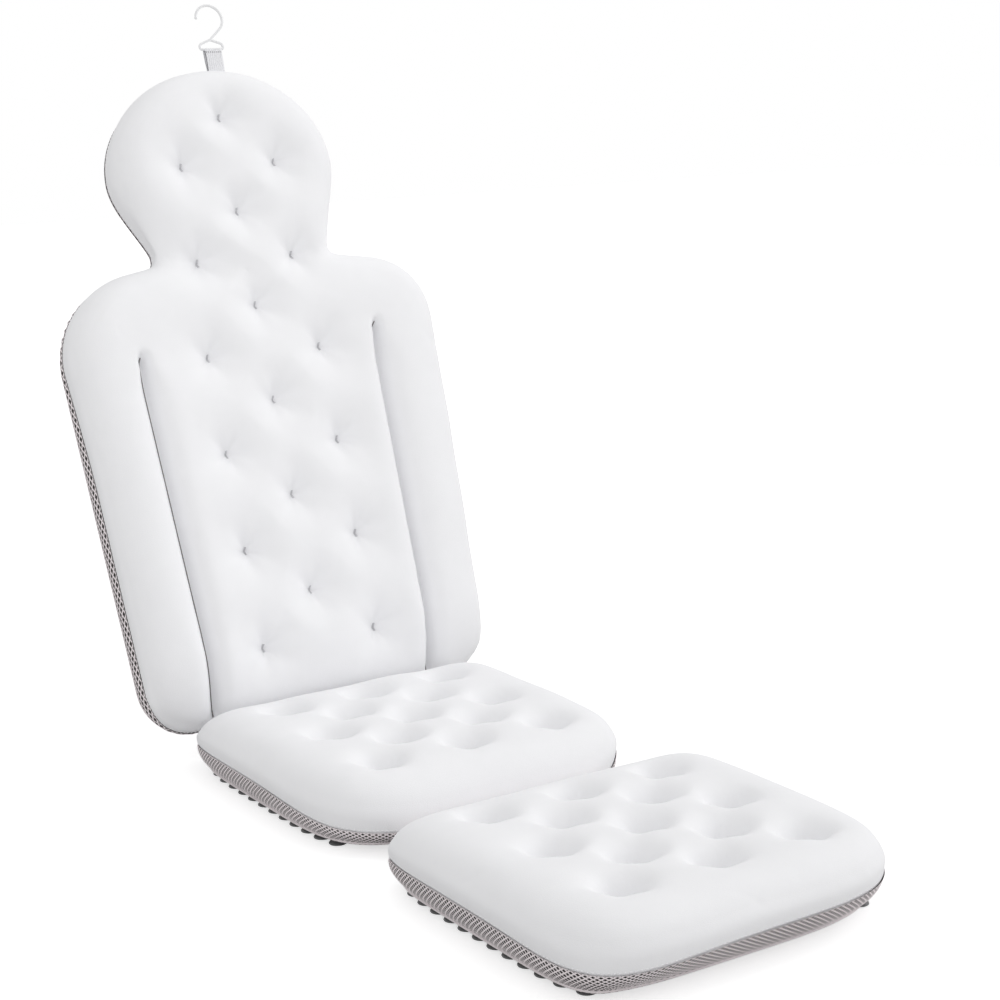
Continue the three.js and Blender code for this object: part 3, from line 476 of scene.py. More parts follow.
class Panel:
    """One padded panel, in x across, v along the body from its fold, and h above the fold axis."""

    def __init__(self, name, halves, origin, along, up, puff, tufts):
        self.name = name
        self.outline = Outline(*halves)
        self.place = frame_of(Vector((1, 0, 0)), along, up, origin)
        self.puff = puff
        self.tufts = tufts
        self.style = BACK_QUILTING if name == "back" else PAD_QUILTING
        pairs = [(a, b) for i, a in enumerate(tufts) for b in tufts[i + 1:]]
        self.neighbours = [(a, b) for a, b in pairs if math.dist(a, b) < VALLEY_SPAN]
        levels = [p[1] for p in halves[0]]
        self.near = min(levels)
        self.far = max(levels)

    def from_fold(self, v):
        """Distance from the nearest fold edge."""
        return min(v - self.near, self.far - v) if self.name == "seat" else v - self.near

    def seam(self, x, v):
        """Height of the seam between cover and mesh; it hangs at the front left corner of a pad."""
        wall = WALL_HEIGHT
        if self.name == "back":
            taper = ease(self.from_fold(v) - WALL_TAPER_START, SHOULDER_HEIGHT - WALL_TAPER_START)
            wall += (HEAD_WALL_HEIGHT - WALL_HEIGHT) * taper
        else:
            away = math.hypot(x + PAD_WIDTH / 2, v - self.far)
            wall -= CORNER_SAG[self.name] * math.exp(-(away / CORNER_SAG_REACH) ** 2)
        return (wall + BASE_BOTTOM) * ease(self.from_fold(v), FOLD_BLEND)

    def crown(self, v):
        """Height of the filled cover before it is tufted; the seat's far end is like the leg's."""
        share = FOLD_CROWN[self.name]
        share += (1 - share) * ease(v - self.near, CROWN_RAMP[self.name])
        if self.name == "seat":
            least = FOLD_CROWN["leg"]
            share *= least + (1 - least) * ease(self.far - v, CROWN_RAMP["leg"])
        return CROWN_RISE * share

    def wall_inset(self, normal_v):
        """How far the foot of the mesh border is drawn in."""
        if self.name == "back":
            return BACK_WALL_INSET
        toe = max(normal_v, 0.0) ** 2 if self.name == "leg" else 0.0
        return PAD_WALL_INSET + (TOE_WALL_INSET - PAD_WALL_INSET) * toe

    def side_inset(self, v, turn):
        """How far the filled side stands in from the outline, from the seam to the crown."""
        bulge = SIDE_BULGE * ease(self.from_fold(v), FOLD_BLEND)
        if self.name == "back":
            bulge += HEAD_FULLNESS * ease(v - HEAD_CENTRE, HEAD_CROWN)
        return self.puff * (1 - math.cos(turn)) ** PUFF_POWER - bulge * math.sin(2 * turn)

    def tuft_distance(self, x, v):
        """Distance from the nearest tuft."""
        return min(math.hypot(x - a, v - b) for a, b in self.tufts)

    def pocket(self, x, v):
        """Distance from the nearest tuft, longer to the front left of a pad, so steeper there."""
        near = math.inf
        for a, b in self.tufts:
            lean = POCKET_ALONG * (v - b) - POCKET_ACROSS * (x - a)
            near = min(near, math.hypot(x - a, v - b) + self.style.pocket_lean * lean)
        return near

    def valley(self, x, v, fabric):
        """Depth of the folds that run from tuft to tuft."""
        depth = 0.0
        for (ax, av), (bx, bv) in self.neighbours:
            run = ((x - ax) * (bx - ax) + (v - av) * (bv - av)) / ((bx - ax) ** 2 + (bv - av) ** 2)
            run = min(max(run, 0.0), 1.0)
            off = math.hypot(x - ax - run * (bx - ax), v - av - run * (bv - av))
            if off < VALLEY_CUTOFF * fabric.valley_reach:
                slack = 1 - VALLEY_SLACK * math.sin(math.pi * run)
                slack *= self.style.valley * math.exp(-off / fabric.valley_reach)
                depth = max(depth, fabric.valley_depth * slack)
        return depth

    def dip(self, x, v, fabric):
        """Depth of the tufts, of the folds between them and of the channels at a point."""
        pull = fabric.tuft_depth * self.style.tension
        reach = fabric.tuft_reach * self.style.spread
        depth = pull * math.exp(-(self.pocket(x, v) / reach) ** self.style.tuft_power)
        depth += self.valley(x, v, fabric) * (1 - depth / pull)
        if self.name != "back":
            return depth
        run = channel_run(x, v, CHANNEL_FADE)
        away = channel_distance(x, v)
        depth *= 1 - run * (1 - ease(away - CHANNEL_RIM, CHANNEL_CALM))
        if run > 0:
            width = fabric.channel_reach * channel_run(x, v, CHANNEL_POINT)
            near = max(1 - away / max(width, fabric.cell), 0.0)
            depth += fabric.channel_depth * run * (1 - math.sqrt(1 - near * near))
        return depth

    def crease(self, x, v, fabric):
        """Depth of the sharp crease right at the sewing."""
        depth = fabric.crease * math.exp(-self.tuft_distance(x, v) / CREASE_REACH)
        if self.name == "back":
            run = channel_run(x, v, CHANNEL_FADE)
            depth += fabric.crease * run * math.exp(-channel_distance(x, v) / CREASE_REACH)
        return depth


def channel_line(side, v):
    """Place across of a side channel: the two spread upwards and lean a little to the left."""
    rise = (v - CHANNEL_FOOT) / CHANNEL_LENGTH
    return side * (CHANNEL_OFFSET + CHANNEL_SPREAD * rise) - CHANNEL_LEAN * rise


def channel_distance(x, v):
    """Distance across from the nearest side channel."""
    return abs(x - channel_line(math.copysign(1, x), v))


def channel_run(x, v, fade):
    """Share of a channel's full size along the back; the right one reaches higher."""
    end = CHANNEL_FOOT + CHANNEL_LENGTH + (CHANNEL_REACH_RIGHT if x > 0 else 0)
    return ease(end - v, fade)


def pad_tufts(far):
    """Tufts of a pad: rows of three and two in turn, set out from the edge nearest the feet."""
    middle = far - PAD_TUFT_MIDDLE
    tufts = []
    for row in range(-2, 3):
        columns = (-2, 0, 2) if row % 2 == 0 else (-1, 1)
        tufts += [(column * PAD_TUFT_COLUMN, middle + row * PAD_TUFT_ROW) for column in columns]
    return tufts


def back_tufts():
    """Tufts of the back: pairs and single ones in turn, drawn in at the neck and head."""
    tufts = []
    for row in range(BACK_TUFT_ROWS):
        v = BACK_TO_FOLD + BACK_FIRST_TUFT + row * BACK_TUFT_ROW
        side = BACK_TUFT_SIDE if row < BACK_TUFT_ROWS - HEAD_TUFT_ROWS else HEAD_TUFT_SIDE
        tufts += [(-side, v), (side, v)] if row % 2 == 0 else [(0.0, v)]
    return tufts


def make_panels():
    """The three panels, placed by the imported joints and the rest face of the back."""
    joints = {joint["name"]: Vector(joint["pos_m"]) for joint in frame["joints"]}
    rear = [m for m in frame["record"]["mounts"] if m["name"] == "back_rest_face"][0]
    facing = Vector(rear["axis"]).normalized()
    back_along = Vector((0, -facing.z, facing.y))
    forward = Vector((0, -1, 0))
    upward = Vector((0, 0, 1))
    seat_far = SEAT_TO_BACK_FOLD + SEAT_LENGTH
    leg_far = PAD_TO_LEG_FOLD + LEG_LENGTH
    seat = [pad_half(SEAT_TO_BACK_FOLD, SEAT_LENGTH)] * 2
    squareness = (LEG_RIGHT_SQUARENESS, LEG_LEFT_SQUARENESS)
    leg = [pad_half(PAD_TO_LEG_FOLD, LEG_LENGTH, power) for power in squareness]
    back = [back_half(), back_half(LEFT_SHOULDER_RADIUS)]
    fold = joints["back_recline"]
    return {
        "seat": Panel("seat", seat, fold, forward, upward, PAD_PUFF, pad_tufts(seat_far)),
        "leg": Panel("leg", leg, joints["leg_fold"], forward, upward, PAD_PUFF, pad_tufts(leg_far)),
        "back": Panel("back", back, fold, back_along, -facing, BACK_PUFF, back_tufts()),
    }


PANELS = make_panels()


def piece_from(bm, name, place=None):
    """Finishes a mesh in the world's axes, with its normals outwards, and links it as a piece."""
    if place is not None:
        bmesh.ops.transform(bm, matrix=place, verts=bm.verts[:])
    bmesh.ops.remove_doubles(bm, verts=bm.verts[:], dist=1e-6)
    bmesh.ops.recalc_face_normals(bm, faces=bm.faces[:])
    for face in bm.faces:
        face.smooth = True
    mesh = bpy.data.meshes.new(name)
    bm.to_mesh(mesh)
    bm.free()
    piece = bpy.data.objects.new(name, mesh)
    bpy.context.scene.collection.objects.link(piece)
    return piece


@contextmanager
def editing(piece):
    """A piece's mesh, opened for editing and written back at the end."""
    bm = bmesh.new()
    bm.from_mesh(piece.data)
    yield bm
    bm.to_mesh(piece.data)
    bm.free()


def apply_modifiers(piece):
    """Takes what a piece's modifiers make as its mesh and clears them."""
    graph = bpy.context.evaluated_depsgraph_get()
    old = piece.data
    mesh = bpy.data.meshes.new_from_object(piece.evaluated_get(graph))
    piece.modifiers.clear()
    piece.data = mesh
    bpy.data.meshes.remove(old)


def bent_grid(columns, rows, place):
    """A grid with each point placed by its shares, from 0 to 1, of the columns and the rows."""
    bm = bmesh.new()
    bmesh.ops.create_grid(bm, x_segments=columns, y_segments=rows, size=0.5)
    for vertex in bm.verts:
        vertex.co = place(vertex.co.x + 0.5, vertex.co.y + 0.5)
    return bm


def thicken(bm, thickness, facing=0):
    """Gives a sheet its thickness; one that has to face up or down is turned first."""
    bmesh.ops.recalc_face_normals(bm, faces=bm.faces[:])
    if facing * sum(face.normal.z for face in bm.faces) < 0:
        bmesh.ops.reverse_faces(bm, faces=bm.faces[:])
    bmesh.ops.solidify(bm, geom=bm.faces[:], thickness=thickness)


def shaded(name, colour, roughness, specular=0.5):
    """A material and its shader."""
    material = bpy.data.materials.new(name)
    material.use_nodes = True
    surface = material.node_tree.nodes["Principled BSDF"]
    surface.inputs["Base Color"].default_value = (*colour, 1)
    surface.inputs["Roughness"].default_value = roughness
    surface.inputs["Specular IOR Level"].default_value = specular
    return material, surface


def wired(tree, kind, inputs, **traits):
    """A shader node with its inputs set to values or linked to other nodes' outputs."""
    node = tree.nodes.new("ShaderNode" + kind)
    for key, value in traits.items():
        setattr(node, key, value)
    for key, value in inputs.items():
        if isinstance(value, bpy.types.NodeSocket):
            tree.links.new(value, node.inputs[key])
        else:
            node.inputs[key].default_value = value
    return node


def object_place(tree):
    """The place on the object that is shaded."""
    return tree.nodes.new("ShaderNodeTexCoord").outputs["Object"]


def noise_texture(tree, scale, detail):
    """Noise that stays in place on the object."""
    place = object_place(tree)
    inputs = {"Scale": scale, "Detail": detail, "Vector": place}
    return wired(tree, "TexNoise", inputs).outputs["Fac"]


def add_bump(tree, surface, height, strength, distance):
    """Sends a texture into the shader's normal."""
    inputs = {"Strength": strength, "Distance": distance, "Height": height}
    tree.links.new(wired(tree, "Bump", inputs).outputs["Normal"], surface.inputs["Normal"])


def add_tint(tree, surface, factor, dark, light):
    """Colours the shader between two tones."""
    inputs = {"A": (*dark, 1), "B": (*light, 1), "Factor": factor}
    mix = wired(tree, "Mix", inputs, data_type="RGBA")
    tree.links.new(mix.outputs["Result"], surface.inputs["Base Color"])


def toned(colour, share):
    """A colour made lighter or darker."""
    return tuple(min(channel * share, 1.0) for channel in colour)


def grained(name, colour, scale, detail, contrast, bump=None, roughness=0.85, specular=0.5):
    """A material whose tone and surface vary a little with a fine grain."""
    material, surface = shaded(name, colour, roughness, specular)
    tree = material.node_tree
    grain = noise_texture(tree, scale, detail)
    dark, light = contrast
    add_tint(tree, surface, grain, toned(colour, dark), toned(colour, light))
    if bump is not None:
        add_bump(tree, surface, grain, *bump)
    return material, surface


def cover_fabric(fabric):
    """Soft white knitted fabric with a fine nap."""
    material, surface = grained(
        "cover_fabric", fabric.colour, scale=55, detail=3, contrast=(0.985, 1.015), specular=0.25)
    surface.inputs["Sheen Weight"].default_value = 0.08
    nap = noise_texture(material.node_tree, scale=1400, detail=2)
    add_bump(material.node_tree, surface, nap, strength=0.25, distance=0.0006)
    return material


def plain_fabric(name, colour, scale):
    """A matt thread or tape with a fine grain."""
    return grained(
        name, colour, scale, detail=2, contrast=(0.86, 1.12), bump=(0.3, 0.0003), specular=0.3)[0]


def mesh_sheet(name, net, lean):
    """Air mesh seen flat: rows of small holes painted darker, as painted shade, in the plane of a panel that leans
    back.
    """
    material, surface = shaded(name, net.colour, roughness=0.9)
    tree = material.node_tree
    place = object_place(tree)
    for rotation in ((-lean, 0, 0), (0, 0, math.pi / 4)):
        place = wired(tree, "Mapping", {"Rotation": rotation, "Vector": place}).outputs["Vector"]
    spots = {"Scale": 1 / (2 * net.row), "Randomness": 0, "Vector": place}
    holes = wired(tree, "TexVoronoi", spots, voronoi_dimensions="2D")
    edge = {"From Min": HOLE_RIM[0], "From Max": HOLE_RIM[1], "Value": holes.outputs["Distance"]}
    rim = wired(tree, "MapRange", edge, interpolation_type="SMOOTHSTEP").outputs["Result"]
    # Holes painted darker: painted shade
    add_tint(tree, surface, rim, toned(net.colour, HOLE_SHADE_TONE), net.colour)
    add_bump(tree, surface, rim, strength=0.6, distance=0.0008)
    return material


def hull_points(panel, wanted):
    """Points of a panel's filled cover, ring by ring from inside the mesh border to the crown."""
    rings = []
    for step in range(-1, HULL_STEPS + 1):
        turn = math.pi / 2 * max(step, 0) / HULL_STEPS
        for x, v, nx, nv in panel.outline.walk(HULL_RING):
            if not wanted(v):
                continue
            seam = panel.seam(x, v)
            if step < 0:
                inset = TUCK_INSET
                height = max(seam - SEAM_TUCK, CUSHION_FLOOR)
            else:
                inset = panel.side_inset(v, turn)
                crown = panel.crown(v - inset * nv)
                height = seam + (crown - seam) * math.sin(turn)
            rings.append((x - inset * nx, v - inset * nv, height))
    return rings


def cushion_hulls(panel):
    """Point sets whose hulls make up a panel's cover; the head's reaches into the shoulders."""
    if panel.name != "back":
        return [hull_points(panel, lambda v: True)]
    body = hull_points(panel, lambda v: v < BODY_HULL_END)
    head = hull_points(panel, lambda v: v > HEAD_HULL_START)
    lowest = min(v for _, v, _ in head)
    foot = [p for p in head if p[1] < lowest + NECK_FOOT]
    return [body, head + [(x * NECK_FOOT_SHARE, v - NECK_FOOT_REACH, h) for x, v, h in foot]]


def cushion_blank(panel, cell):
    """Closed blank of a cushion with even cells, in the panel's axes."""
    bm = bmesh.new()
    for points in cushion_hulls(panel):
        corners = [bmesh.ops.create_vert(bm, co=p)["vert"][0] for p in points]
        hull = bmesh.ops.convex_hull(bm, input=corners)
        inside = hull["geom_interior"] + hull["geom_unused"]
        inside = {item for item in inside if isinstance(item, bmesh.types.BMVert)}
        bmesh.ops.delete(bm, geom=list(inside), context="VERTS")
    piece = piece_from(bm, panel.name + "_cushion")
    remesh = piece.modifiers.new("Even cells", "REMESH")
    remesh.mode = "VOXEL"
    remesh.voxel_size = cell
    remesh.adaptivity = 0
    apply_modifiers(piece)
    with editing(piece) as bm:
        for _ in range(BLANK_SMOOTHING):
            bmesh.ops.smooth_vert(
                bm, verts=bm.verts[:], factor=0.5,
                use_axis_x=True, use_axis_y=True, use_axis_z=True)
    return piece


def row_on_channel(piece, side, cell):
    """Shifts a blank's cells so that one row lies on a side channel; gives that row's points."""
    middle = CHANNEL_FOOT + CHANNEL_LENGTH / 2
    upper = [p.co for p in piece.data.vertices if p.co.z > CROWN_RISE / 2]
    near = [co.x for co in upper if abs(co.y - middle) < cell]
    row = min(near, key=lambda x: abs(x - channel_line(side, middle)))
    end = CHANNEL_FOOT + CHANNEL_LENGTH + CHANNEL_REACH_RIGHT
    points = set()
    for vertex in piece.data.vertices:
        x, v, _ = vertex.co
        if abs(x - row) < cell / 2:
            points.add(vertex.index)
        shift = (channel_line(side, min(v, end)) - row) * (1 - ease(v - end, CHANNEL_SHIFT_FADE))
        vertex.co.x = x + shift * (1 - ease(abs(x - row), CHANNEL_SHIFT_REACH))
    return points


def quilt(panel, piece, fabric):
    """Draws the tufts and channels into a blank and marks the points that the sewing holds."""
    held = piece.vertex_groups.new(name="held")
    rows = set()
    if panel.name == "back":
        rows = row_on_channel(piece, -1, fabric.cell) | row_on_channel(piece, 1, fabric.cell)
    for vertex in piece.data.vertices:
        x, v, h = vertex.co
        seam = panel.seam(x, v)
        rise = min(max((h - seam) / (panel.crown(v) - seam), 0.0), 1.0)
        vertex.co.z = h - panel.dip(x, v, fabric) * rise
        sewn = vertex.index in rows and channel_run(x, v, CHANNEL_FADE) > CHANNEL_SEWN
        sewn = sewn or panel.tuft_distance(x, v) < fabric.cell * TUFT_SEWN
        if sewn and rise > UPPER_RISE or h < seam + HELD_RISE:
            held.add([vertex.index], 1.0, "REPLACE")


def fill_out(piece, fabric):
    """Fills a cover with air: a cloth simulation with limited movement that the sewing holds."""
    start = [vertex.co.copy() for vertex in piece.data.vertices]
    cloth = piece.modifiers.new("Fill", "CLOTH")
    cloth.settings.quality = 5
    cloth.settings.tension_stiffness = 12
    cloth.settings.compression_stiffness = 8
    cloth.settings.shear_stiffness = 4
    cloth.settings.bending_stiffness = 0.4
    cloth.settings.use_pressure = True
    cloth.settings.uniform_pressure_force = fabric.pressure
    cloth.settings.vertex_group_mass = "held"
    cloth.settings.effector_weights.gravity = 0
    cloth.collision_settings.use_collision = False
    cloth.point_cache.frame_start = 1
    cloth.point_cache.frame_end = FILL_FRAMES
    for step in range(1, FILL_FRAMES + 1):
        bpy.context.scene.frame_set(step)
    apply_modifiers(piece)
    bpy.context.scene.frame_set(1)
    for vertex, before in zip(piece.data.vertices, start):
        move = vertex.co - before
        if move.length > fabric.give:
            vertex.co = before + move.normalized() * fabric.give


def pucker(panel, piece, fabric):
    """Small folds that run out from the tufts and across the channels, and slow waves between."""
    for vertex in piece.data.vertices:
        x, v, h = vertex.co
        if h < panel.seam(x, v) + PUCKER_RISE:
            continue
        lift = 0.0
        calm = 1.0
        for number, (tuft_x, tuft_v) in enumerate(panel.tufts):
            distance = math.hypot(x - tuft_x, v - tuft_v)
            if distance < PUCKER_START + PUCKER_FADE:
                angle = math.atan2(v - tuft_v, x - tuft_x)
                fade = ease(distance, PUCKER_START)
                fade *= 1 - ease(distance - PUCKER_START, PUCKER_FADE)
                lift += fabric.pucker * fade * math.cos(PUCKER_FOLDS * angle + PUCKER_TURN * number)
        if panel.name == "back":
            away = channel_distance(x, v)
            fade = channel_run(x, v, CHANNEL_POINT) * ease(away, CHANNEL_PUCKER_START)
            fade *= 1 - ease(away, CHANNEL_PUCKER_FADE)
            place = (math.copysign(CHANNEL_PUCKER_SEED, x), v * CHANNEL_PUCKER_SCALE, 0)
            lift += fabric.pucker * fade * noise.noise(Vector(place))
            calm = ease(away, CHANNEL_CALM)
        wave = noise.noise(Vector((x * WAVE_SCALE, v * WAVE_SCALE, len(panel.name))))
        vertex.co.z = h + (lift + WAVE_HEIGHT * calm * wave)


def set_edge(panel, piece):
    """Brings a cushion's sides back onto the outline, where the cover meets the mesh."""
    for vertex in piece.data.vertices:
        x, v, h = vertex.co
        edge_x, edge_v, nx, nv, inset = panel.outline.nearest(x, v)
        seam = panel.seam(edge_x, edge_v)
        rise = (h - seam) / (panel.crown(v) - seam)
        if rise < 0:
            wanted = TUCK_INSET * min((seam - h) / SEAM_TUCK, 1.0)
            share = 1.0 if inset < TUCK_INSET else 0.0
        else:
            wanted = panel.side_inset(edge_v, math.asin(min(rise, 1.0)))
            share = 1 - ease(rise - EDGE_HOLD, EDGE_HOLD) if inset < wanted + TUCK_INSET else 0.0
        vertex.co.x += nx * share * (inset - wanted)
        vertex.co.y += nv * share * (inset - wanted)


def draw_creases(panel, piece, fabric):
    """Makes the cells finer at the sewing and draws the sharp creases into them."""
    with editing(piece) as bm:
        least = CREASE_SHARE * fabric.crease
        top = [p for p in bm.verts if p.co.z > panel.seam(*p.co.xy) + CREASE_RISE]
        sewn = {p for p in top if panel.crease(*p.co.xy, fabric) > least}
        edges = [edge for edge in bm.edges if sewn.issuperset(edge.verts)]
        bmesh.ops.subdivide_edges(bm, edges=edges, cuts=1, use_grid_fill=True)
        for vertex in bm.verts:
            x, v, h = vertex.co
            if h > panel.seam(x, v) + CREASE_RISE:
                vertex.co.z = h - panel.crease(x, v, fabric)


def make_cushion(panel, fabric):
    """A panel's filled and quilted cover."""
    piece = cushion_blank(panel, fabric.cell)
    quilt(panel, piece, fabric)
    fill_out(piece, fabric)
    even = piece.modifiers.new("Finer cells", "SUBSURF")
    even.levels = 1
    even.render_levels = 1
    apply_modifiers(piece)
    set_edge(panel, piece)
    pucker(panel, piece, fabric)
    draw_creases(panel, piece, fabric)
    with editing(piece) as bm:
        bmesh.ops.transform(bm, matrix=panel.place, verts=bm.verts[:])
        bmesh.ops.recalc_face_normals(bm, faces=bm.faces[:])
        for face in bm.faces:
            face.smooth = True
    piece.vertex_groups.clear()
    return piece


def surface_tree(piece, panel):
    """A piece's surface for laying stitches on it, in the panel's axes."""
    bm = bmesh.new()
    bm.from_mesh(piece.data)
    bmesh.ops.transform(bm, matrix=panel.place.inverted(), verts=bm.verts[:])
    tree = BVHTree.FromBMesh(bm)
    bm.free()
    return tree


def roll(bm, path, radius, closed):
    """A round roll along a path of points."""
    count = len(path)
    rings = []
    for i, point in enumerate(path):
        before = path[i - 1] if closed or i > 0 else point
        after = path[(i + 1) % count] if closed or i < count - 1 else point
        turn = (after - before).normalized().to_track_quat("Z", "Y").to_matrix().to_4x4()
        ring = bmesh.ops.create_circle(
            bm, segments=ROLL_SIDES, radius=radius, matrix=Matrix.Translation(point) @ turn)
        rings.append(ring["verts"])
    for a, b in zip(rings, rings[1:] + rings[:1] if closed else rings[1:]):
        edges = set()
        for corners in (set(a), set(b)):
            for vertex in corners:
                edges.update(edge for edge in vertex.link_edges if corners.issuperset(edge.verts))
        bmesh.ops.bridge_loops(bm, edges=list(edges))
    if not closed:
        for ring in (rings[0], rings[-1]):
            bmesh.ops.contextual_create(bm, geom=ring)


def edge_roll(panel, name, radius, place):
    """A rolled edge round a panel; its inset and height come from the place on the outline."""
    path = []
    for x, v, nx, nv in panel.outline.walk(round(panel.outline.length / ROLL_STEP)):
        inset, height = place(x, v, nv)
        path.append(Vector((x - nx * inset, v - nv * inset, height)))
    bm = bmesh.new()
    roll(bm, path, radius, True)
    return piece_from(bm, panel.name + name, panel.place)


def lay_stitch(bm, point, along, normal, length, radius):
    """One stitch: a small rounded bead of thread that lies on the cloth."""
    side = normal.cross(along).normalized()
    matrix = frame_of(side.cross(normal).normalized(), side, normal, point)
    matrix = matrix @ Matrix.Diagonal((length / 2, radius, radius, 1))
    bmesh.ops.create_icosphere(bm, subdivisions=1, radius=1.0, matrix=matrix)


def tuft_tacks(panel, tree, side):
    """Bar tack of close stitches at each tuft, on the upper or the lower side of a panel."""
    bm = bmesh.new()
    slant = Vector((1, TACK_SLANT, 0))
    for x, v in panel.tufts:
        for k in range(TACK_STITCHES):
            along_bar = (k - (TACK_STITCHES - 1) / 2) * TACK_PITCH
            start = Vector((x, v + along_bar, PROBE_HEIGHT * side))
            point, normal, _, _ = tree.ray_cast(start, Vector((0, 0, -side)), PROBE_REACH)
            lay_stitch(bm, point + normal * TACK_LIFT, slant, normal, TACK_LENGTH, TACK_RADIUS)
    return piece_from(bm, panel.name + ("_tuft_tacks" if side > 0 else "_rear_tacks"), panel.place)


class PillowOperator:
    """Shared by the operators: undo, and how a piece is dressed."""

    bl_options = {"REGISTER", "UNDO"}

    def give(self, piece, material, slot, body):
        """Gives a piece its material and its body; the slot is not used."""
        piece.data.materials.append(material)
        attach(piece, body)


class PILLOW_OT_cushions(PillowOperator, bpy.types.Operator):
    """Make the three quilted cushions and their sewing"""

    bl_idname = "pillow.cushions"
    bl_label = "Quilted cushions"

    def execute(self, context):
        fabric = context.scene.pillow_fabric
        cover = cover_fabric(fabric)
        # Tack thread is grey as painted shade for the fold's shadow at each tuft
        thread = plain_fabric("sewing_thread", fabric.thread_and_shade_colour, scale=3000)
        # Material of the dark roll in the channels: painted shade
        channel_thread = plain_fabric("channel_thread", fabric.channel_thread, scale=3000)
        for name, panel in PANELS.items():
            piece = make_cushion(panel, fabric)
            self.give(piece, cover, "cover", name)
            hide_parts(name + "_top_cover", name + "_fill")
            tree = surface_tree(piece, panel)
            self.give(self.welt(panel, fabric), cover, "cover", name)
            self.give(self.edge_stitches(panel, fabric, tree), cover, "cover", name)
            self.give(tuft_tacks(panel, tree, 1), thread, "cover", name)
        # Dark roll along the channels' bottoms: painted shade for the shadow deep in each crease
        channels = self.channel_shade_line(PANELS["back"], fabric, tree)
        self.give(channels, channel_thread, "cover", "back")
        return {"FINISHED"}

    def welt(self, panel, fabric):
        """Rolled edge where the cover is sewn to the mesh border."""
        return edge_roll(
            panel, "_welt", fabric.welt, lambda x, v, nv: (fabric.welt, panel.seam(x, v)))

    def edge_stitches(self, panel, fabric, tree):
        """Row of stitches on the cover just above the seam."""
        bm = bmesh.new()
        length = fabric.stitch_pitch * EDGE_STITCH_SHARE
        for x, v, nx, nv in panel.outline.walk(round(panel.outline.length / fabric.stitch_pitch)):
            outward = Vector((nx, nv, 0))
            start = Vector((x, v, panel.seam(x, v) + EDGE_STITCH_RISE)) + outward * EDGE_PROBE_OUT
            point, normal, _, _ = tree.ray_cast(start, -outward, EDGE_PROBE_REACH)
            if point is not None:
                lay_stitch(bm, point, Vector((-nv, nx, 0)), normal, length, fabric.thread)
        return piece_from(bm, panel.name + "_edge_stitches", panel.place)

    def channel_shade_line(self, panel, fabric, tree):
        """Dark roll along the bottom of the side channels: painted shade for the shadow deep in each crease."""
        bm = bmesh.new()
        for side in (-1, 1):
            path = []
            v = CHANNEL_FOOT
            while channel_run(side, v, CHANNEL_FADE) > CHANNEL_SEWN:
                start = Vector((channel_line(side, v), v, PROBE_HEIGHT))
                foot = tree.ray_cast(start, Vector((0, 0, -1)), PROBE_REACH)[0]
                path.append(foot + Vector((0, 0, fabric.thread)))
                v += fabric.stitch_pitch
            roll(bm, path, fabric.thread * CHANNEL_SHADE_LINE_SHARE, False)
        return piece_from(bm, panel.name + "_channel_stitches", panel.place)


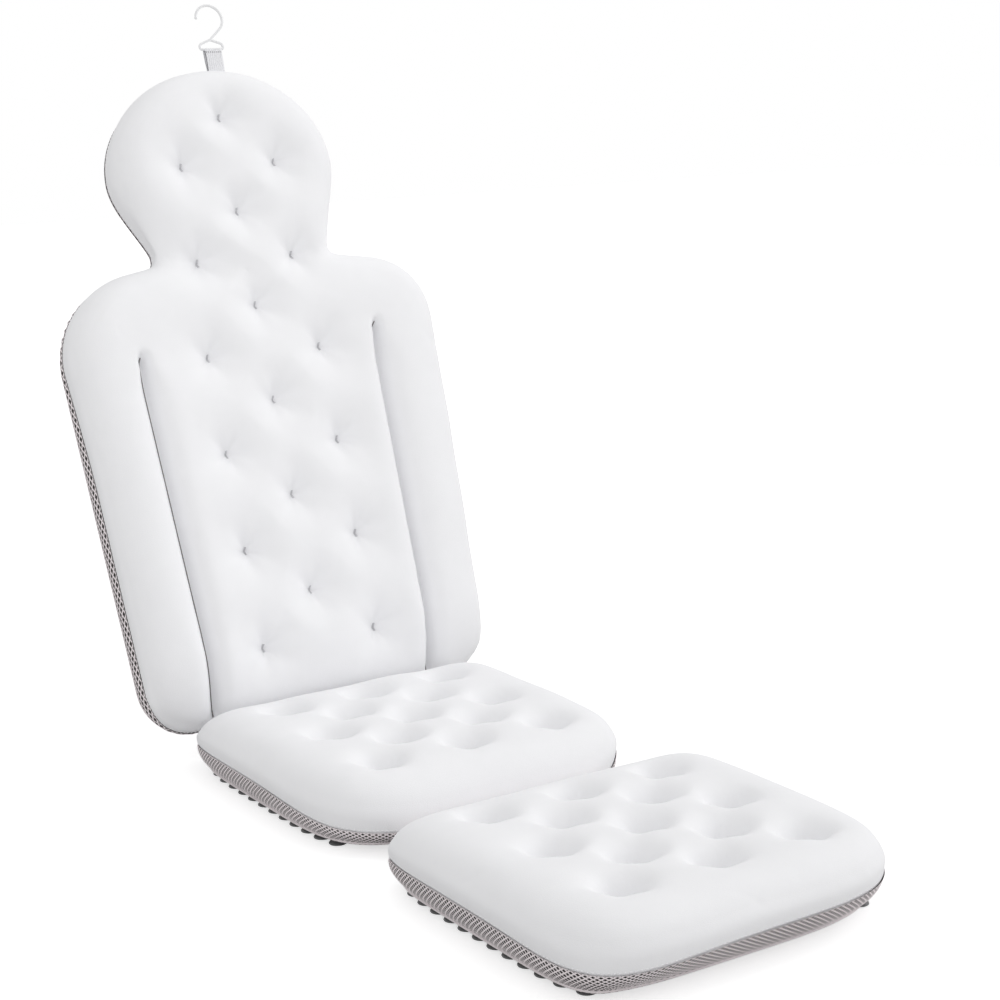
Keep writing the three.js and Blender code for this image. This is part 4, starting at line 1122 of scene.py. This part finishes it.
class PILLOW_OT_air_mesh(PillowOperator, bpy.types.Operator):
    """Make the mesh borders with their nets, the mesh bases and their bound edges"""

    bl_idname = "pillow.air_mesh"
    bl_label = "Air mesh"

    def execute(self, context):
        net = context.scene.pillow_mesh
        strands = plain_fabric("mesh_strands", net.colour, scale=2500)
        # Near-black material of the inner layer and hole floors: painted shade
        backing_shade = plain_fabric("mesh_backing", net.shade, scale=1800)
        # Rear tacks take the same grey thread tone: painted shade on real tacks
        thread = plain_fabric("rear_thread", context.scene.pillow_fabric.thread_and_shade_colour, scale=3000)
        lean = PANELS["back"].place.to_3x3() @ Vector((0, 1, 0))
        flat = mesh_sheet("mesh_sheet_flat", net, 0.0)
        leaning = mesh_sheet("mesh_sheet_leaning", net, math.atan2(lean.z, lean.y))
        for name, panel in PANELS.items():
            border = self.net(panel, net)
            binding = self.binding(panel, net)
            band = self.band(panel)
            base = self.base(panel)
            self.give(border, strands, "mesh", name)
            border.data.materials.append(backing_shade)
            self.give(binding, strands, "mesh", name)
            self.give(band, backing_shade, "mesh", name)
            self.give(base, leaning if name == "back" else flat, "mesh", name)
            self.give(tuft_tacks(panel, surface_tree(base, panel), -1), thread, "cover", name)
            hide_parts(name + "_mesh_wall")
            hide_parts(name + "_mesh_base")
            width, length, area = self.band_cut(panel)
            width, length, area = self.base_cut(panel)
        return {"FINISHED"}

    def foot_run(self, panel, x, v, nv):
        """Length of the border from seam to foot, which slopes in."""
        return math.hypot(panel.seam(x, v) - BORDER_FOOT, panel.wall_inset(nv))

    def band_cut(self, panel):
        """Width, length and area of a border's flat cut."""
        ring = panel.outline.walk(HULL_RING)
        runs = [self.foot_run(panel, x, v, nv) for x, v, _, nv in ring]
        length = panel.outline.length
        return max(runs), length, length * sum(runs) / HULL_RING

    def base_cut(self, panel):
        """Width, length and area of a base's flat cut."""
        cut = []
        for x, v, nx, nv in panel.outline.walk(RING_SAMPLES):
            inset = panel.wall_inset(nv)
            cut.append((x - inset * nx, v - inset * nv))
        area = sum(a[0] * b[1] - b[0] * a[1] for a, b in zip(cut, cut[1:] + cut[:1])) / 2
        width, length = [max(line) - min(line) for line in zip(*cut)]
        return width, length, abs(area)

    def border_point(self, panel, share, drop, stand_off):
        """Point of the border at a distance down from the seam; the rest is tucked under."""
        x, v, nx, nv = panel.outline.at(share)
        run = self.foot_run(panel, x, v, nv)
        down = min(drop / run, 1.0)
        over = max(drop - run, 0.0)
        bulge = panel.style.border_bulge * math.sin(math.pi * down)
        inset = panel.wall_inset(nv) * down + over - stand_off - bulge
        seam = panel.seam(x, v)
        height = seam + (BORDER_FOOT - seam) * down
        height -= min(over, BORDER_FOOT - BASE_BOTTOM + stand_off * NET_UNDER_SHARE)
        return Vector((x - inset * nx, v - inset * nv, height))

    def net(self, panel, net):
        """Knitted net round a panel: sunk diamond holes in rows set off by half a hole."""
        scale = panel.style.net_scale
        reach = self.band_cut(panel)[0]
        bm = bmesh.new()
        bmesh.ops.create_grid(
            bm, x_segments=round(panel.outline.length / (net.pitch * scale)),
            y_segments=round(reach / (2 * net.row * scale)), size=0.5)
        middles = set(bmesh.ops.poke(bm, faces=bm.faces[:])["verts"])
        for vertex in bm.verts:
            drop = (reach + NET_OVERLAP) * (0.5 - vertex.co.y) - NET_OVERLAP
            vertex.co = self.border_point(panel, vertex.co.x + 0.5, drop, net.stand_off)
        bmesh.ops.remove_doubles(bm, verts=bm.verts[:], dist=1e-5)
        inner = [edge for edge in bm.edges if not edge.is_boundary]
        sides = [edge for edge in inner if middles.isdisjoint(edge.verts)]
        bmesh.ops.dissolve_edges(bm, edges=sides)
        bmesh.ops.recalc_face_normals(bm, faces=bm.faces[:])
        holes = bm.faces[:]
        bmesh.ops.inset_individual(
            bm, faces=holes, thickness=net.strand * scale / 2, depth=-net.knit,
            use_even_offset=True)
        for hole in holes:
            # Hole floors take the near-black painted shade
            hole.material_index = 1
        return piece_from(bm, panel.name + "_border_net", panel.place)

    def band(self, panel):
        """Closed inner layer of the border, behind the net; its near-black colour is painted shade seen through
        the holes.
        """

        def place(share, rise):
            x, v, _, nv = panel.outline.at(share)
            return self.border_point(panel, share, self.foot_run(panel, x, v, nv) * (1 - rise), 0.0)

        bm = bent_grid(round(panel.outline.length / BAND_CELL), BAND_ROWS, place)
        bmesh.ops.remove_doubles(bm, verts=bm.verts[:], dist=1e-5)
        thicken(bm, SHEET_THICKNESS)
        return piece_from(bm, panel.name + "_border_band", panel.place)

    def base(self, panel):
        """Mesh sheet under a panel, a little full between the tufts and drawn in at each."""
        width = 2 * max(x for x, _ in panel.outline.points)
        length = panel.far - panel.near
        bm = bmesh.new()
        bmesh.ops.create_grid(
            bm, x_segments=round(width / BASE_CELL), y_segments=round(length / BASE_CELL), size=0.5)
        bmesh.ops.scale(bm, vec=(width, length, 1), verts=bm.verts[:])
        bmesh.ops.translate(bm, vec=(0, panel.near + length / 2, 0), verts=bm.verts[:])
        outside = []
        for face in bm.faces:
            _, _, _, nv, inset = panel.outline.nearest(*face.calc_center_median().xy)
            if inset < panel.wall_inset(nv) + BASE_CELL * BASE_TRIM:
                outside.append(face)
        bmesh.ops.delete(bm, geom=outside, context="FACES")
        rim = {vertex for edge in bm.edges if edge.is_boundary for vertex in edge.verts}
        for vertex in bm.verts:
            x, v, _ = vertex.co
            edge_x, edge_v, nx, nv, inset = panel.outline.nearest(x, v)
            foot = panel.wall_inset(nv)
            if vertex in rim:
                vertex.co = (edge_x - foot * nx, edge_v - foot * nv, BASE_BOTTOM)
                continue
            pull = math.exp(-(panel.tuft_distance(x, v) / BASE_TUFT_REACH) ** 2)
            if panel.name == "back":
                seam = math.exp(-(channel_distance(x, v) / BASE_TUFT_REACH) ** 2)
                pull = max(pull, channel_run(x, v, CHANNEL_POINT) * seam)
            full = ease(inset - foot, BASE_RIM)
            vertex.co.z = BASE_BOTTOM + full * (BASE_TUFT_PULL * pull - BASE_FULLNESS * (1 - pull))
        bmesh.ops.remove_doubles(bm, verts=bm.verts[:], dist=BASE_CELL * BASE_MERGE)
        bmesh.ops.dissolve_degenerate(bm, edges=bm.edges[:], dist=1e-5)
        thicken(bm, SHEET_THICKNESS, facing=-1)
        return piece_from(bm, panel.name + "_base_sheet", panel.place)

    def binding(self, panel, net):
        """Bound edge between border and base."""
        height = BORDER_FOOT - net.binding
        return edge_roll(
            panel, "_base_binding", net.binding, lambda x, v, nv: (panel.wall_inset(nv), height))


class PILLOW_OT_cup_strips(PillowOperator, bpy.types.Operator):
    """Make the rubber strips with suction cups under the seat and the leg pad"""

    bl_idname = "pillow.cup_strips"
    bl_label = "Suction cup strips"

    def execute(self, context):
        fittings = context.scene.pillow_fittings
        rubber, _ = grained(
            "cup_rubber", fittings.rubber, scale=900, detail=2, contrast=(0.8, 1.2),
            bump=(0.1, 0.0002), roughness=0.35)
        for name in ("seat", "leg"):
            for side, sign in (("left", -1), ("right", 1)):
                node = f"{name}_cup_strip_{side}"
                piece = self.strip(PANELS[name], sign, node, fittings)
                self.give(piece, rubber, "cups", name)
                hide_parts(node)
        return {"FINISHED"}

    def strip(self, panel, sign, node, fittings):
        """A moulded strip with a row of dished cups, which follows the side of the pad."""
        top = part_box(node)[1][2]
        cups = []
        for i in range(CUP_COUNT):
            v = panel.near + CUP_NEAR_MARGIN + CUP_PITCH * i
            inward = PAD_WALL_INSET + CUP_EDGE_MARGIN
            across = pad_side(v, panel.near, panel.far - panel.near) - inward
            place = panel.place @ Vector((sign * across, v, 0))
            cups.append(Vector((place.x, place.y, 0)))
        bm = self.bar(cups, top)
        for cup in cups:
            self.cup(bm, cup, top - CUP_STRIP_THICKNESS, fittings)
        piece = piece_from(bm, node + "_rubber")
        piece.data.set_sharp_from_angle(angle=CUP_SHARP_ANGLE)
        return piece

    def bar(self, cups, top):
        """The strip: a bent bar with round ends under all its cups."""
        half = CUP_STRIP_WIDTH / 2
        reach = half / CUP_PITCH
        last = len(cups) - 1

        def place(along, across):
            at = -reach + along * (last + 2 * reach)
            i = min(max(int(at), 0), last - 1)
            run = cups[i + 1] - cups[i]
            beyond = max(-at, at - last, 0.0) * CUP_PITCH
            width = math.sqrt(max(half * half - beyond * beyond, 0.0))
            side = Vector((-run.y, run.x, 0)).normalized()
            point = cups[i] + run * (at - i) + side * ((across - 0.5) * 2 * width)
            return point.x, point.y, top

        bm = bent_grid(CUP_STRIP_STEPS * (len(cups) + 1), CUP_STRIP_ROWS, place)
        thicken(bm, CUP_STRIP_THICKNESS, facing=1)
        return bm

    def cup(self, bm, at, height, fittings):
        """One cup, turned from its profile: dished lip on the floor, domed wall and short stem."""
        profile = CUP_PROFILE + [(CUP_STEM, height + CUP_STEM_ROOT)]
        corners = [
            bmesh.ops.create_vert(bm, co=at + Vector((r, 0, z)))["vert"][0] for r, z in profile]
        edges = []
        for pair in zip(corners, corners[1:]):
            edges += bmesh.ops.contextual_create(bm, geom=list(pair))["edges"]
        bmesh.ops.spin(
            bm, geom=corners + edges, cent=at, axis=(0, 0, 1), angle=2 * math.pi,
            steps=fittings.cup_sides, use_merge=True)


class PILLOW_OT_fold_strips(PillowOperator, bpy.types.Operator):
    """Make the flexible mesh strips that join the panels at the folds"""

    bl_idname = "pillow.fold_strips"
    bl_label = "Fold strips"

    def execute(self, context):
        material = plain_fabric("fold_mesh", context.scene.pillow_mesh.colour, scale=1500)
        for body, lines in self.folds().items():
            piece = self.strip(body + "_fold_strip_fabric", lines)
            piece.data.materials.append(material)
            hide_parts(body + "_fold_strip")
            start, _, end = [line(0.0) for line in lines]
            tuple(start)
            tuple(end)
            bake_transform(piece)
            for step in range(FOLD_STRIP_COLUMNS + 1):
                x = FOLD_STRIP_WIDTH * (step / FOLD_STRIP_COLUMNS - 0.5)
                a, b, c = [line(x) for line in lines]
        return {"FINISHED"}

    def folds(self):
        """Start, middle and end of each fold strip, as lines across the panels."""
        seat, back, leg = PANELS["seat"], PANELS["back"], PANELS["leg"]

        def under(panel, x, v):
            return panel.place @ Vector((x, v, -FOLD_STRIP_DROP))

        def back_middle(x):
            low = back.place @ Vector((x, 0, -2 * FOLD_STRIP_DROP))
            return (seat.place @ Vector((x, 0, 0)) + low) / 2

        return {
            "back": [
                lambda x: under(seat, x, pad_end(x, seat.near, 1)),
                back_middle,
                lambda x: under(back, x, back.near),
            ],
            "leg": [
                lambda x: under(seat, x, pad_end(x, seat.far, -1)),
                lambda x: under(leg, x, 0),
                lambda x: under(leg, x, pad_end(x, leg.near, 1)),
            ],
        }

    def strip(self, name, lines):
        """Curved strip between the ends of two panels, under the fold."""

        def place(across, t):
            a, b, c = [line((across - 0.5) * FOLD_STRIP_WIDTH) for line in lines]
            turn = (4 * b - a - c) / 2
            return (1 - t) ** 2 * a + 2 * t * (1 - t) * turn + t * t * c

        bm = bent_grid(FOLD_STRIP_COLUMNS, FOLD_STRIP_ROWS, place)
        thicken(bm, SHEET_THICKNESS)
        return piece_from(bm, name)


class PILLOW_OT_strap(PillowOperator, bpy.types.Operator):
    """Make the ribbed strap, the dark line along its left edge and its stitches"""

    bl_idname = "pillow.strap"
    bl_label = "Strap"

    def execute(self, context):
        fittings = context.scene.pillow_fittings
        panel = PANELS["back"]
        webbing = plain_fabric("strap_webbing", fittings.webbing, scale=1800)
        edge = plain_fabric("strap_edge", fittings.webbing_edge, scale=1800)
        left = LOOP_OFFSET - LOOP_WIDTH / 2
        right = LOOP_OFFSET + LOOP_WIDTH / 2
        band = self.band(panel, left, right, fittings)
        self.give(band, webbing, "webbing", "strap")
        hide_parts("hanging_loop")
        self.give(self.left_dark_edge(panel, left, fittings), edge, "webbing", "strap")
        self.give(self.stitches(panel, left, right, fittings), edge, "webbing", "strap")
        return {"FINISHED"}

    def left_dark_edge(self, panel, left, fittings):
        """Dark roll along the front of the strap's left edge."""
        front = self.run()[:STRAP_FRONT_STEPS]
        bm = bmesh.new()
        roll(bm, [Vector((left, v, h)) for v, h in front], fittings.left_dark_edge / 2, False)
        return piece_from(bm, "strap_woven_edge", panel.place)

    def stitches(self, panel, low, high, fittings):
        """Row of stitches across the strap, under the hook's bar."""
        bm = bmesh.new()
        count = round((high - low) / fittings.rib_pitch)
        v = LOOP_ROOT + LOOP_LENGTH - STRAP_STITCH_DROP
        height = LOOP_LEVEL + LOOP_BEND + fittings.rib_height
        for i in range(count):
            point = Vector((low + (i + 0.5) * (high - low) / count, v, height))
            lay_stitch(bm, point, Vector((0, 1, 0)), Vector((0, 0, 1)),
                       STRAP_STITCH_LENGTH, STRAP_STITCH_RADIUS)
        return piece_from(bm, "strap_stitches", panel.place)

    def run(self):
        """The strap's path in v and h: up the front, round the hook's bar and down the back."""
        reach = LOOP_LENGTH - LOOP_BEND
        last = STRAP_FRONT_STEPS - 1
        front = [(reach * i / last, LOOP_BEND) for i in range(STRAP_FRONT_STEPS)]
        angles = [math.pi * i / STRAP_BEND_STEPS for i in range(1, STRAP_BEND_STEPS)]
        bend = [(reach + LOOP_BEND * math.sin(a), LOOP_BEND * math.cos(a)) for a in angles]
        path = front + bend + [(v, -h) for v, h in reversed(front)]
        open_path = [(v, h * (0.5 + 0.5 * ease(v, LOOP_OPENING))) for v, h in path]
        return [(LOOP_ROOT + v, LOOP_LEVEL + h) for v, h in open_path]

    def band(self, panel, low, high, fittings):
        """A ribbed band along the strap's path."""
        path = self.run()
        last = len(path) - 1

        def place(across, along):
            i = min(round(along * last), last)
            before, after = path[max(i - 1, 0)], path[min(i + 1, last)]
            run = Vector((after[0] - before[0], after[1] - before[1])).normalized()
            x = low + (high - low) * across
            rib = fittings.rib_height * abs(math.sin(math.pi * (x - low) / fittings.rib_pitch))
            return x, path[i][0] - run.y * rib, path[i][1] + run.x * rib

        bm = bent_grid(round((high - low) / fittings.rib_pitch) * RIB_STEPS, last, place)
        bmesh.ops.solidify(bm, geom=bm.faces[:], thickness=STRAP_THICKNESS)
        return piece_from(bm, "strap_band", panel.place)


class PILLOW_OT_hook(PillowOperator, bpy.types.Operator):
    """Give the hook its plastic"""

    bl_idname = "pillow.hook"
    bl_label = "Hook"

    def execute(self, context):
        colour = context.scene.pillow_fittings.hook
        plastic, _ = grained(
            "hook_plastic", colour, scale=500, detail=1, contrast=(0.98, 1.02), roughness=0.28)
        frame["nodes"]["hook"].data.materials[0] = plastic
        return {"FINISHED"}


class PILLOW_OT_stage(PillowOperator, bpy.types.Operator):
    """Set up the floor, the light and the camera"""

    bl_idname = "pillow.stage"
    bl_label = "Stage"

    def execute(self, context):
        self.floor()
        self.lights(context.scene)
        self.camera(context.scene)
        return {"FINISHED"}

    def floor(self):
        """White floor that keeps the shadow."""
        bm = bmesh.new()
        bmesh.ops.create_grid(bm, x_segments=1, y_segments=1, size=FLOOR_SIZE)
        floor = piece_from(bm, "floor", Matrix.Translation((0, 0, -FLOOR_DROP)))
        material, surface = shaded("floor_white", [FLOOR_TONE] * 3, roughness=0.9, specular=0)
        tree = material.node_tree
        surface.inputs["Emission Color"].default_value = (1, 1, 1, 1)
        glow = wired(tree, "Math", {0: self.seen(tree), 1: FLOOR_GLOW}, operation="MULTIPLY")
        tree.links.new(glow.outputs["Value"], surface.inputs["Emission Strength"])
        floor.data.materials.append(material)

    def lights(self, scene):
        """A bright room with soft lamps on the right, above and in front, and one for the back."""
        world = bpy.data.worlds.new("studio")
        world.use_nodes = True
        tree = world.node_tree
        sky = tree.nodes["Background"]
        sky.inputs["Color"].default_value = (1, 1, 1, 1)
        room = {"To Min": ROOM_LIGHT, "To Max": 1.0, "Value": self.seen(tree)}
        tree.links.new(wired(tree, "MapRange", room).outputs["Result"], sky.inputs["Strength"])
        scene.world = world
        for name, (direction, spread, power) in LAMPS.items():
            far_lamp = self.lamp(scene, name, "SUN", direction, (0, 0, 0), power)
            far_lamp.angle = math.radians(spread)
        spot = self.lamp(
            scene, "back_light", "SPOT", BACK_LIGHT_PLACE, BACK_LIGHT_AIM, BACK_LIGHT_POWER)
        spot.spot_size = math.radians(BACK_LIGHT_BEAM)
        spot.spot_blend = 1.0
        spot.shadow_soft_size = BACK_LIGHT_SIZE

    def seen(self, tree):
        """1 for what the camera sees, straight, reflected or through glass, and else 0."""
        ray = tree.nodes.new("ShaderNodeLightPath").outputs
        total = ray["Is Camera Ray"]
        for other in ("Is Glossy Ray", "Is Transmission Ray"):
            either = wired(tree, "Math", {0: total, 1: ray[other]}, operation="MAXIMUM")
            total = either.outputs["Value"]
        return total

    def lamp(self, scene, name, kind, place, aim, power):
        """A lamp that shines from a place towards a point."""
        data = bpy.data.lights.new(name, kind)
        data.energy = power
        lamp = bpy.data.objects.new(name, data)
        scene.collection.objects.link(lamp)
        lamp.location = place
        lamp.rotation_euler = (Vector(place) - Vector(aim)).to_track_quat("Z", "Y").to_euler()
        return data

    def camera(self, scene):
        """The photograph's camera."""
        level = Vector((math.cos(CAMERA_TURN), math.sin(CAMERA_TURN), 0))
        away = math.cos(CAMERA_PITCH)
        back = Vector((level.y * away, -level.x * away, math.sin(CAMERA_PITCH)))
        upright = back.cross(level)
        right = level * math.cos(CAMERA_TILT) + upright * math.sin(CAMERA_TILT)
        up = upright * math.cos(CAMERA_TILT) - level * math.sin(CAMERA_TILT)
        data = bpy.data.cameras.new("photo")
        data.sensor_width = CAMERA_SENSOR
        data.lens = CAMERA_SENSOR * CAMERA_FOCAL
        camera = bpy.data.objects.new("photo", data)
        scene.collection.objects.link(camera)
        place = PANELS["seat"].place.translation + CAMERA_FROM_FOLD
        camera.matrix_world = frame_of(right, up, back, place)
        scene.camera = camera
        scene.view_settings.view_transform = "Standard"


class PILLOW_PT_panel(bpy.types.Panel):
    """Sizes of the bath pillow"""

    bl_idname = "PILLOW_PT_panel"
    bl_label = "Bath Pillow"
    bl_space_type = "VIEW_3D"
    bl_region_type = "UI"
    bl_category = "Bath Pillow"

    def draw(self, context):
        scene = context.scene
        for title, settings in (
            ("Fabric", scene.pillow_fabric),
            ("Air mesh", scene.pillow_mesh),
            ("Fittings", scene.pillow_fittings),
        ):
            box = self.layout.box()
            box.label(text=title)
            for key in settings.bl_rna.properties.keys():
                if key not in ("rna_type", "name"):
                    box.prop(settings, key)
        for operator in OPERATORS:
            self.layout.operator(operator.bl_idname)


SETTINGS = {
    "pillow_fabric": PillowFabric,
    "pillow_mesh": PillowMesh,
    "pillow_fittings": PillowFittings,
}
OPERATORS = (
    PILLOW_OT_cushions,
    PILLOW_OT_air_mesh,
    PILLOW_OT_cup_strips,
    PILLOW_OT_fold_strips,
    PILLOW_OT_strap,
    PILLOW_OT_hook,
    PILLOW_OT_stage,
)


def register():
    for key, group in SETTINGS.items():
        bpy.utils.register_class(group)
        setattr(bpy.types.Scene, key, PointerProperty(type=group))
    for operator in OPERATORS:
        bpy.utils.register_class(operator)
    bpy.utils.register_class(PILLOW_PT_panel)


def unregister():
    bpy.utils.unregister_class(PILLOW_PT_panel)
    for operator in reversed(OPERATORS):
        bpy.utils.unregister_class(operator)
    for key, group in SETTINGS.items():
        delattr(bpy.types.Scene, key)
        bpy.utils.unregister_class(group)


def main():
    register()
    bpy.ops.pillow.stage()
    bpy.ops.pillow.cushions()
    bpy.ops.pillow.air_mesh()
    bpy.ops.pillow.cup_strips()
    bpy.ops.pillow.fold_strips()
    bpy.ops.pillow.strap()
    bpy.ops.pillow.hook()


if __name__ == "__main__":
    main()
